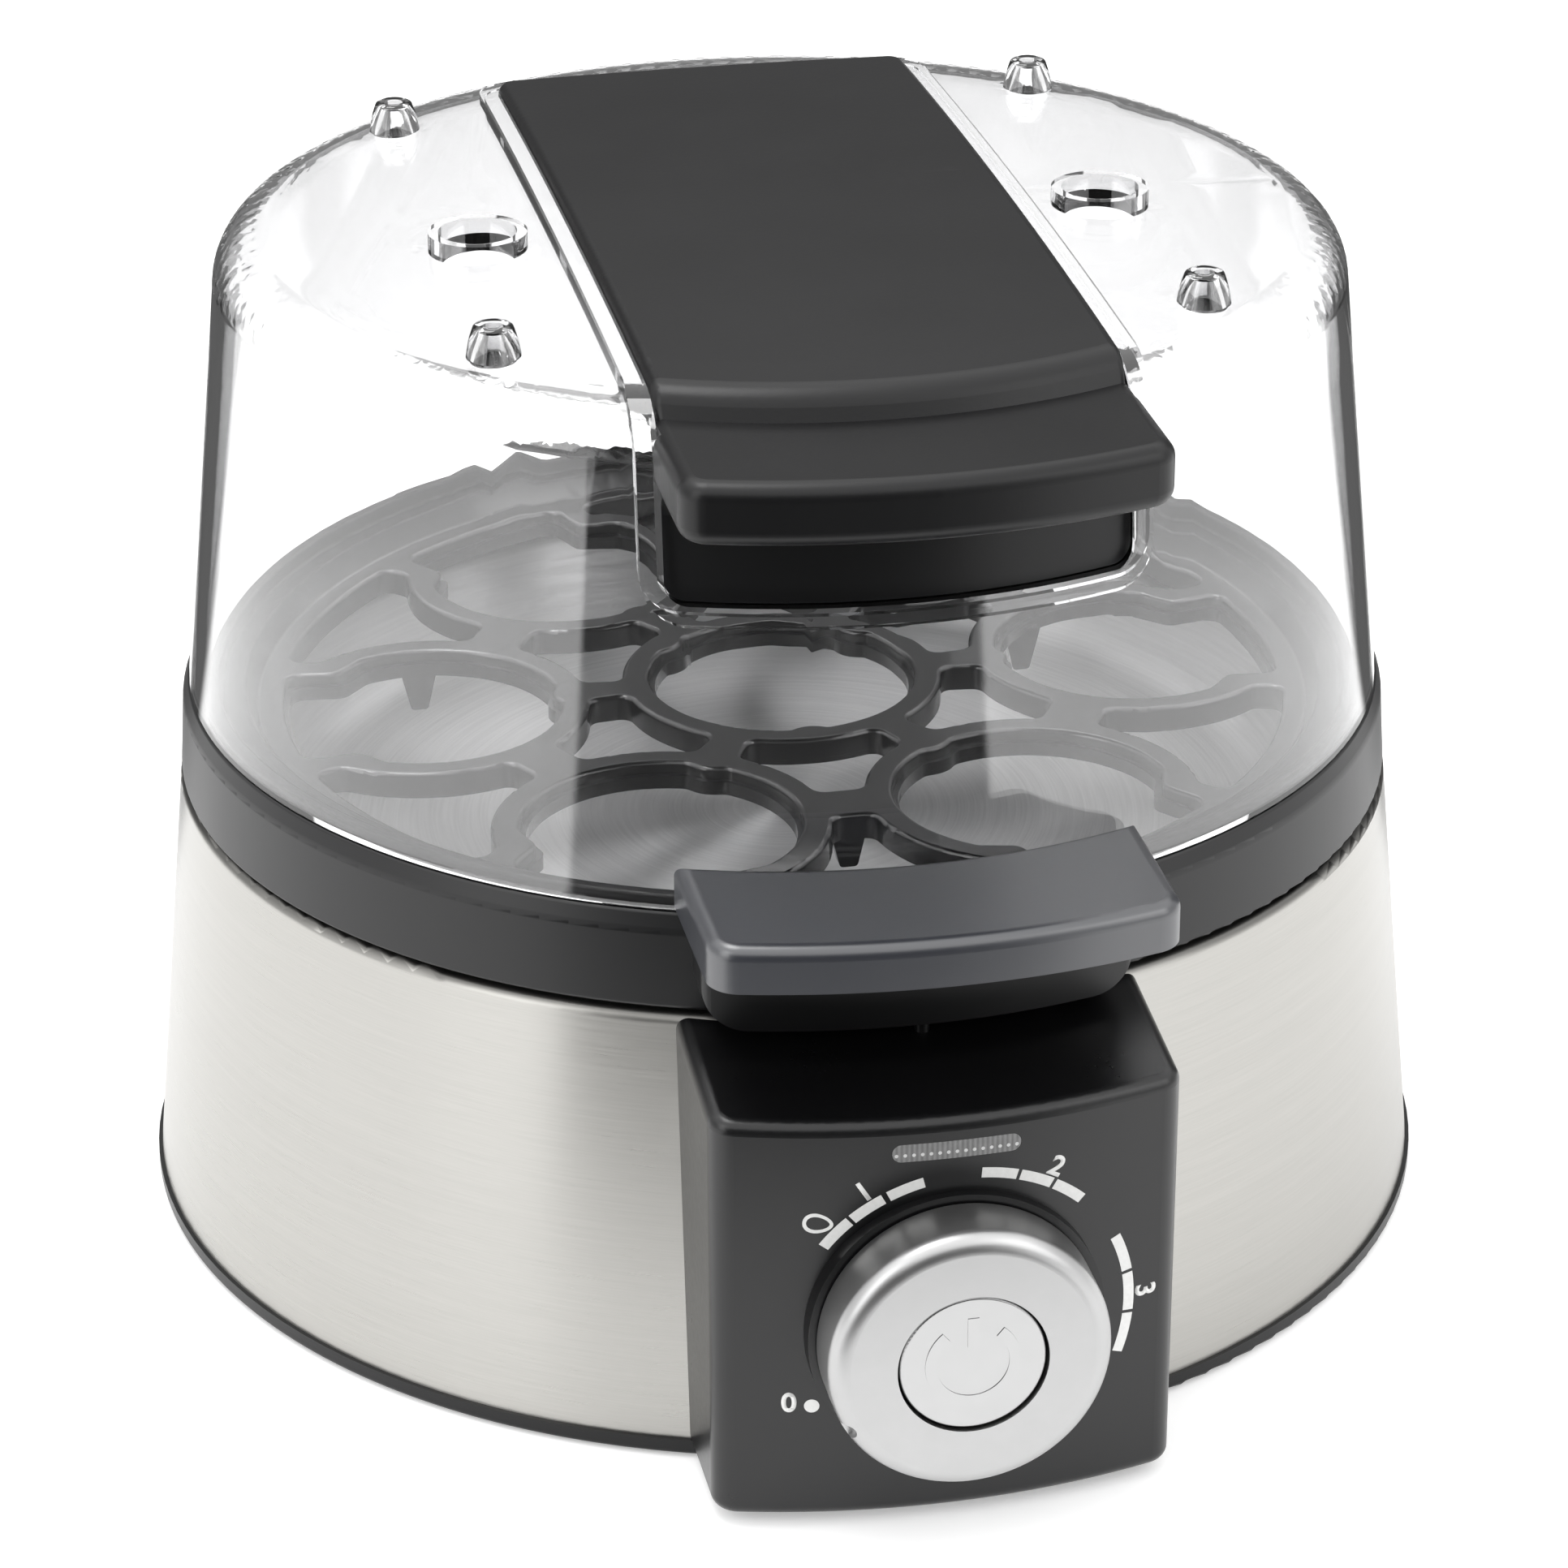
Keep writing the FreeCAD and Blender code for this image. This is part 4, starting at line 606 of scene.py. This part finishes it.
class EGGBOILER_OT_metals(bpy.types.Operator):
    """Finish the steel shell, the pan, the knob and the button"""

    bl_idname = "eggboiler.metals"
    bl_label = "Metals"

    def execute(self, context):
        colours = context.scene.eggboiler_finishes
        dress(shell_finish("brushed_shell", colours.shell_steel), "outer_shell")
        dress(turned_finish("turned_pan", colours.pan_steel), "boiling_pan")
        dress(metal_finish("knob_satin", colours.knob_metal, roughness=0.36), "timer_knob")
        dress(metal_finish("button_bright", colours.knob_metal, roughness=0.26), "start_button")
        zinc = metal_finish("zinc", ZINC, roughness=0.35)
        dress(zinc, "tie_screws", "element_terminals", "pan_studs", "thermal_fuse", "sensor_strap",
              "control_box_screws", "board_screws", "sensor_nut", "handle_screws", "band_screws")
        dress(metal_finish("aluminium", ALUMINIUM, roughness=0.38), "heat_spreader")
        dress(metal_finish("element_steel", ELEMENT_STEEL, roughness=0.45), "heating_element",
              "temperature_sensor")
        return {"FINISHED"}


class EGGBOILER_OT_electrics(bpy.types.Operator):
    """Finish the small parts inside the base"""

    bl_idname = "eggboiler.electrics"
    bl_label = "Electrics"

    def execute(self, context):
        grain = context.scene.eggboiler_finishes.grain_depth
        white = moulded_finish("ceramic_white", CERAMIC, roughness=0.5, grain=grain)
        dress(white, "thermostat", "terminal_block", "button_sleeve", "button_stem",
              "switch_plunger")
        black = moulded_finish("hub_black", SOOT, roughness=0.5, grain=grain)
        dress(black, "relay", "capacitor", "buzzer", "dial_sensor", "knob_hub", "push_switch")
        green = moulded_finish("board_green", BOARD_GREEN, roughness=0.4, grain=grain)
        dress(green, "circuit_board")
        amber = moulded_finish("led_amber", LED_AMBER, roughness=0.3, grain=grain)
        dress(amber, "indicator_leds")
        return {"FINISHED"}


class EGGBOILER_OT_clears(bpy.types.Operator):
    """Finish the clear lid and the indicator lens"""

    bl_idname = "eggboiler.clears"
    bl_label = "Clear plastics"

    def execute(self, context):
        colours = context.scene.eggboiler_finishes
        clear = lid_finish("lid_plastic", colours.lid_clear)
        dress(clear, "lid_dome")
        self.lid(clear)
        dress(lens_finish("lens_plastic", context.scene.eggboiler_dial), "indicator_lens")
        return {"FINISHED"}

    def lid(self, clear):
        """The clear lid with low blunt cones that are hollow below, and lower vent collars."""
        shape = bmesh.new()
        shape.from_mesh(nodes["lid_dome"].data)
        bmesh.ops.remove_doubles(shape, verts=shape.verts, dist=0.000002)
        hollows = bmesh.new()
        for side in (-1, 1):
            vent = (side * VENT_PLACE[0], VENT_PLACE[1])
            self.reshape(shape, vent, VENT_REACH, VENT_HEIGHT, VENT_LOWER, VENT_SCALES)
            for end in (-1, 1):
                cone = (side * CONE_PLACE, end * CONE_PLACE)
                foot = self.reshape(shape, cone, CONE_REACH, CONE_HEIGHT, CONE_LOWER, CONE_SCALES)
                low = foot - HOLLOW_DEPTH
                high = foot + CONE_HEIGHT * CONE_LOWER - HOLLOW_ROOF
                middle = Matrix.Translation((*cone, (low + high) / 2))
                bmesh.ops.create_cone(hollows, cap_ends=True, segments=48,
                                      radius1=HOLLOW_RADII[0], radius2=HOLLOW_RADII[1],
                                      depth=high - low, matrix=middle)
        lid = self.cut(shape, hollows)
        for face in lid.faces:
            face.smooth = True
        for edge in lid.edges:
            edge.smooth = edge.calc_face_angle(0.0) < SHARP_EDGE
        piece = new_piece("clear_lid", lid, clear, "lid")
        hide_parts("lid_dome")

    def reshape(self, shape, place, reach, height, lower, scales):
        """Lowers what stands on the lid at a place, scales it by one factor at its foot and by
        another at its top, and returns the height of its foot."""
        x, y = place
        foot_scale, top_scale = scales
        near = [vert for vert in shape.verts if (vert.co.xy - Vector(place)).length < reach]
        foot = max(vert.co.z for vert in near) - height
        for vert in near:
            risen = min(max((vert.co.z - foot) / height, 0.0), 1.0)
            wider = foot_scale + (top_scale - foot_scale) * risen
            vert.co.x = x + (vert.co.x - x) * wider
            vert.co.y = y + (vert.co.y - y) * wider
            if vert.co.z > foot:
                vert.co.z = foot + (vert.co.z - foot) * lower
        return foot

    def cut(self, shape, cutter):
        """Cuts one closed bmesh out of another."""
        made = []
        for part in (shape, cutter):
            bmesh.ops.recalc_face_normals(part, faces=part.faces)
            mesh = bpy.data.meshes.new("part")
            part.to_mesh(mesh)
            part.free()
            made.append(bpy.data.objects.new("part", mesh))
            bpy.context.scene.collection.objects.link(made[-1])
        cut = made[0].modifiers.new("cut", "BOOLEAN")
        cut.object = made[1]
        cut.solver = "EXACT"
        bpy.context.view_layer.update()
        graph = bpy.context.evaluated_depsgraph_get()
        mesh = bpy.data.meshes.new_from_object(made[0].evaluated_get(graph))
        result = bmesh.new()
        result.from_mesh(mesh)
        bpy.data.meshes.remove(mesh)
        for part in made:
            bpy.data.objects.remove(part)
        return result


class EGGBOILER_OT_dial_marks(bpy.types.Operator):
    """Print the arcs, the dot, the egg and the numerals round the knob"""

    bl_idname = "eggboiler.dial_marks"
    bl_label = "Dial marks"

    def execute(self, context):
        dial = context.scene.eggboiler_dial
        ink = ink_finish("mark_ink", context.scene.eggboiler_finishes.mark_grey)
        height = dial.ink_height * 2

        arcs = bmesh.new()
        for start, end in ARC_SPANS:
            arc_strip(arcs, dial.arc_radius, dial.arc_width, start, end, height)
        on_face(arcs, dial)
        new_piece("dial_arcs", arcs, ink, "base")

        dot = bmesh.new()
        bmesh.ops.create_circle(dot, cap_ends=True, segments=32, radius=DOT_SIZE)
        raise_faces(dot, dot.faces[:], height)
        self.move_out(dot, 0.0, *DOT_PLACE)
        on_face(dot, dial)
        new_piece("dial_dot", dot, ink, "base")

        egg = bmesh.new()
        egg_ring(egg, *EGG_SIZE, height)
        self.move_out(egg, EGG_TILT, *EGG_PLACE)
        on_face(egg, dial)
        new_piece("dial_egg", egg, ink, "base")

        for text, angle, tilt in NUMERALS:
            numeral = self.numeral(text, dial.numeral_height, height)
            self.move_out(numeral, tilt, angle, dial.numeral_radius)
            on_face(numeral, dial)
            new_piece("dial_numeral_" + text, numeral, ink, "base")
        return {"FINISHED"}

    def move_out(self, shape, tilt, angle, radius):
        """Tilts a mark about its own middle, then moves it out to its place round the knob."""
        tilted = Matrix.Rotation(radians(tilt), 3, "Z")
        bmesh.ops.rotate(shape, verts=shape.verts, matrix=tilted)
        shift = Matrix.Rotation(radians(angle), 3, "Z") @ Vector((radius, 0.0, 0.0))
        bmesh.ops.translate(shape, verts=shape.verts, vec=shift)

    def numeral(self, text, size, height):
        """A flat numeral with its middle at the origin."""
        curve = bpy.data.curves.new("numeral", "FONT")
        curve.body = text
        curve.size = size
        curve.align_x = "CENTER"
        curve.align_y = "CENTER"
        curve.offset = size * NUMERAL_BOLD
        letter = bpy.data.objects.new("numeral", curve)
        bpy.context.scene.collection.objects.link(letter)
        bpy.context.view_layer.update()
        graph = bpy.context.evaluated_depsgraph_get()
        mesh = bpy.data.meshes.new_from_object(letter.evaluated_get(graph))
        shape = bmesh.new()
        shape.from_mesh(mesh)
        bpy.data.objects.remove(letter)
        bpy.data.meshes.remove(mesh)
        raise_faces(shape, shape.faces[:], height)
        return shape


class EGGBOILER_OT_button_symbol(bpy.types.Operator):
    """Emboss the open ring and the bar on the start button"""

    bl_idname = "eggboiler.button_symbol"
    bl_label = "Button symbol"

    def execute(self, context):
        dial = context.scene.eggboiler_dial
        metal = context.scene.eggboiler_finishes.knob_metal
        bright = metal_finish("symbol_bright", metal, roughness=0.24)
        shape = bmesh.new()
        arc_strip(shape, dial.symbol_radius, SYMBOL_LINE, *SYMBOL_SPAN, SYMBOL_HEIGHT)
        left = shape.verts.new((-SYMBOL_LINE / 2, BAR_FOOT, 0.0))
        right = shape.verts.new((SYMBOL_LINE / 2, BAR_FOOT, 0.0))
        edge = shape.edges.new((left, right))
        up = bmesh.ops.extrude_edge_only(shape, edges=[edge])["geom"]
        tops = [part for part in up if isinstance(part, bmesh.types.BMVert)]
        bmesh.ops.translate(shape, verts=tops, vec=(0.0, BAR_LENGTH, 0.0))
        faces = [part for part in up if isinstance(part, bmesh.types.BMFace)]
        raise_faces(shape, faces, SYMBOL_HEIGHT)
        front = button_low.y
        centre = (button_low.z + button_high.z) / 2
        for vert in shape.verts:
            across, rise, out = vert.co
            vert.co = (across, front - out + SYMBOL_SINK, centre + rise)
        new_piece("button_symbol", shape, bright, "button")
        return {"FINISHED"}


class EGGBOILER_OT_stage(bpy.types.Operator):
    """Set the floor, the soft light, the white room and the camera"""

    bl_idname = "eggboiler.stage"
    bl_label = "Studio"

    def execute(self, context):
        scene = context.scene
        stage = scene.eggboiler_stage
        self.floor(stage)
        self.world(scene, stage)
        self.lamp("key_softbox", (-0.25, 0.10, 1.15), (0.55, 0.45), stage.key_power)
        self.lamp("fill_softbox", (0.9, -0.75, 0.75), (0.7, 0.9), stage.fill_power)
        self.lamp("left_softbox", (-1.0, -0.55, 0.6), (0.5, 0.9), stage.fill_power)
        self.camera(scene, stage)
        scene.view_settings.view_transform = "Standard"
        return {"FINISHED"}

    def floor(self, stage):
        """A white floor, with the room's dark parts in its mirror images."""
        shape = bmesh.new()
        bmesh.ops.create_grid(shape, x_segments=2, y_segments=2, size=stage.floor_size)
        mesh = bpy.data.meshes.new("floor")
        shape.to_mesh(mesh)
        shape.free()
        floor = bpy.data.objects.new("floor", mesh)
        bpy.context.scene.collection.objects.link(floor)
        material, f = new_finish("pale_floor")
        camera, mirrored, _ = self.rays(f)
        dark = self.camera_gap(f, f.place(), stage, stage.table_front)
        flags = self.flags(f, f.place(), stage)
        paper = f.matt(opaque(PAPER))
        lifted = f.node("ShaderNodeAddShader", {}, {0: paper, 1: f.glow(stage.floor_lift)})[0]
        beside = f.either(mirrored * flags, lifted, f.glow(stage.flag_light))
        beyond = f.either(mirrored * dark, beside, f.matt(tinted(WHITE, stage.gap_light)))
        f.finish(f.either(camera.largest(mirrored), paper, beyond))
        mesh.materials.append(material)

    def rays(self, f):
        """Whether a ray comes from the camera, is mirrored or bent, and is bent."""
        outputs = f.node("ShaderNodeLightPath", {}, {})
        camera, glossy, transmission = outputs[0], outputs[3], outputs[10]
        return camera, glossy.largest(transmission), transmission

    def camera_gap(self, f, place, stage, start):
        """One in the wedge round the camera where the white room is open and dark, else 0."""
        x, y, _ = f.parts(place)
        across = x * cos(stage.azimuth) + y * sin(stage.azimuth)
        ahead = x * sin(stage.azimuth) - y * cos(stage.azimuth)
        inside = ahead * tan(stage.gap_turn) - across.size()
        return f.ramp(inside, 0.0, GAP_EDGE) * f.ramp(ahead, start, start + TABLE_EDGE)

    def behind(self, f, place, stage):
        """How far a point lies beside the camera's line, and how far behind the boiler."""
        x, y, _ = f.parts(place)
        across = x * cos(stage.azimuth) + y * sin(stage.azimuth)
        return across.size(), y * cos(stage.azimuth) - x * sin(stage.azimuth)

    def flags(self, f, place, stage):
        """One on the two dark strips beside the white floor behind the boiler, else 0."""
        across, behind = self.behind(f, place, stage)
        outside = f.ramp(across - behind * tan(stage.sweep_turn), *SWEEP_EDGE)
        return outside * (1.0 - f.ramp(across - behind * tan(stage.flag_turn), 0.0, FLAG_EDGE))

    def world(self, scene, stage):
        """A white room: white to the camera, and with dark parts in gloss and glass."""
        world = bpy.data.worlds.new("studio")
        scene.world = world
        world.use_nodes = True
        f = Finish(world.node_tree, "ShaderNodeOutputWorld")
        camera, mirrored, clear = self.rays(f)
        way = f.node("ShaderNodeTexCoord", {}, {})[0]
        _, _, z = f.parts(way)
        ceiling = f.ramp(z, *CEILING_RISE)
        gap = self.camera_gap(f, way, stage, 0.0) * (1.0 - ceiling)
        gap_light = clear * stage.clear_gap + (1.0 - clear) * stage.gap_light
        across, behind = self.behind(f, way, stage)
        inside = behind * tan(stage.flag_turn) - across
        back = f.ramp(inside, 0.0, BACK_EDGE) * (1.0 - ceiling)
        walls = 1.0 - gap * (1.0 - gap_light) - back * (1.0 - stage.back_light)
        room = walls + ceiling * (stage.ceiling_light - 1.0)
        strength = camera + (1.0 - camera) * (mirrored * room + (1.0 - mirrored) * stage.room_light)
        sockets = {"Color": WHITE, "Strength": strength}
        f.finish(f.node("ShaderNodeBackground", {}, sockets)[0])

    def lamp(self, name, place, sides, power):
        """A rectangular softbox that faces the boiler."""
        light = bpy.data.lights.new(name, "AREA")
        light.shape = "RECTANGLE"
        light.size, light.size_y = sides
        light.energy = power
        lamp = bpy.data.objects.new(name, light)
        bpy.context.scene.collection.objects.link(lamp)
        lamp.location = place
        away = Vector(place) - Vector(LAMP_AIM)
        lamp.rotation_euler = away.to_track_quat("Z", "Y").to_euler()

    def camera(self, scene, stage):
        """The photograph's camera."""
        data = bpy.data.cameras.new("camera")
        data.lens = stage.focal_length
        data.sensor_width = 36.0
        data.clip_start = 0.01
        data.shift_x, data.shift_y = LENS_SHIFT
        camera = bpy.data.objects.new("camera", data)
        scene.collection.objects.link(camera)
        across, rise = stage.azimuth, stage.elevation
        away = Vector((sin(across) * cos(rise), -cos(across) * cos(rise), sin(rise)))
        camera.location = Vector((0.0, 0.0, stage.aim_height)) + away * stage.distance
        aimed = away.to_track_quat("Z", "Y").to_matrix()
        camera.rotation_euler = (aimed @ Matrix.Rotation(stage.roll, 3, "Z")).to_euler()
        scene.camera = camera


class EGGBOILER_PT_panel(bpy.types.Panel):
    """Shows the buttons and the settings of the egg boiler"""

    bl_idname = "EGGBOILER_PT_panel"
    bl_label = "Egg boiler"
    bl_space_type = "VIEW_3D"
    bl_region_type = "UI"
    bl_category = "Egg boiler"

    def draw(self, context):
        for operator in OPERATORS:
            self.layout.operator(operator.bl_idname)
        for group in (context.scene.eggboiler_finishes, context.scene.eggboiler_dial,
                      context.scene.eggboiler_stage):
            for name in group.__annotations__:
                self.layout.prop(group, name)


GROUPS = (EggBoilerFinishes, EggBoilerDial, EggBoilerStage)
OPERATORS = (EGGBOILER_OT_plastics, EGGBOILER_OT_metals, EGGBOILER_OT_electrics,
             EGGBOILER_OT_clears, EGGBOILER_OT_dial_marks, EGGBOILER_OT_button_symbol,
             EGGBOILER_OT_stage)


def register():
    for made in GROUPS + OPERATORS + (EGGBOILER_PT_panel,):
        bpy.utils.register_class(made)
    bpy.types.Scene.eggboiler_finishes = PointerProperty(type=EggBoilerFinishes)
    bpy.types.Scene.eggboiler_dial = PointerProperty(type=EggBoilerDial)
    bpy.types.Scene.eggboiler_stage = PointerProperty(type=EggBoilerStage)


def unregister():
    del bpy.types.Scene.eggboiler_finishes
    del bpy.types.Scene.eggboiler_dial
    del bpy.types.Scene.eggboiler_stage
    for made in reversed(GROUPS + OPERATORS + (EGGBOILER_PT_panel,)):
        bpy.utils.unregister_class(made)


def main():
    """Registers the classes and makes every piece."""
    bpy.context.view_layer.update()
    register()
    bpy.ops.eggboiler.plastics()
    bpy.ops.eggboiler.metals()
    bpy.ops.eggboiler.electrics()
    bpy.ops.eggboiler.clears()
    bpy.ops.eggboiler.dial_marks()
    bpy.ops.eggboiler.button_symbol()
    bpy.ops.eggboiler.stage()


if __name__ == "__main__":
    main()
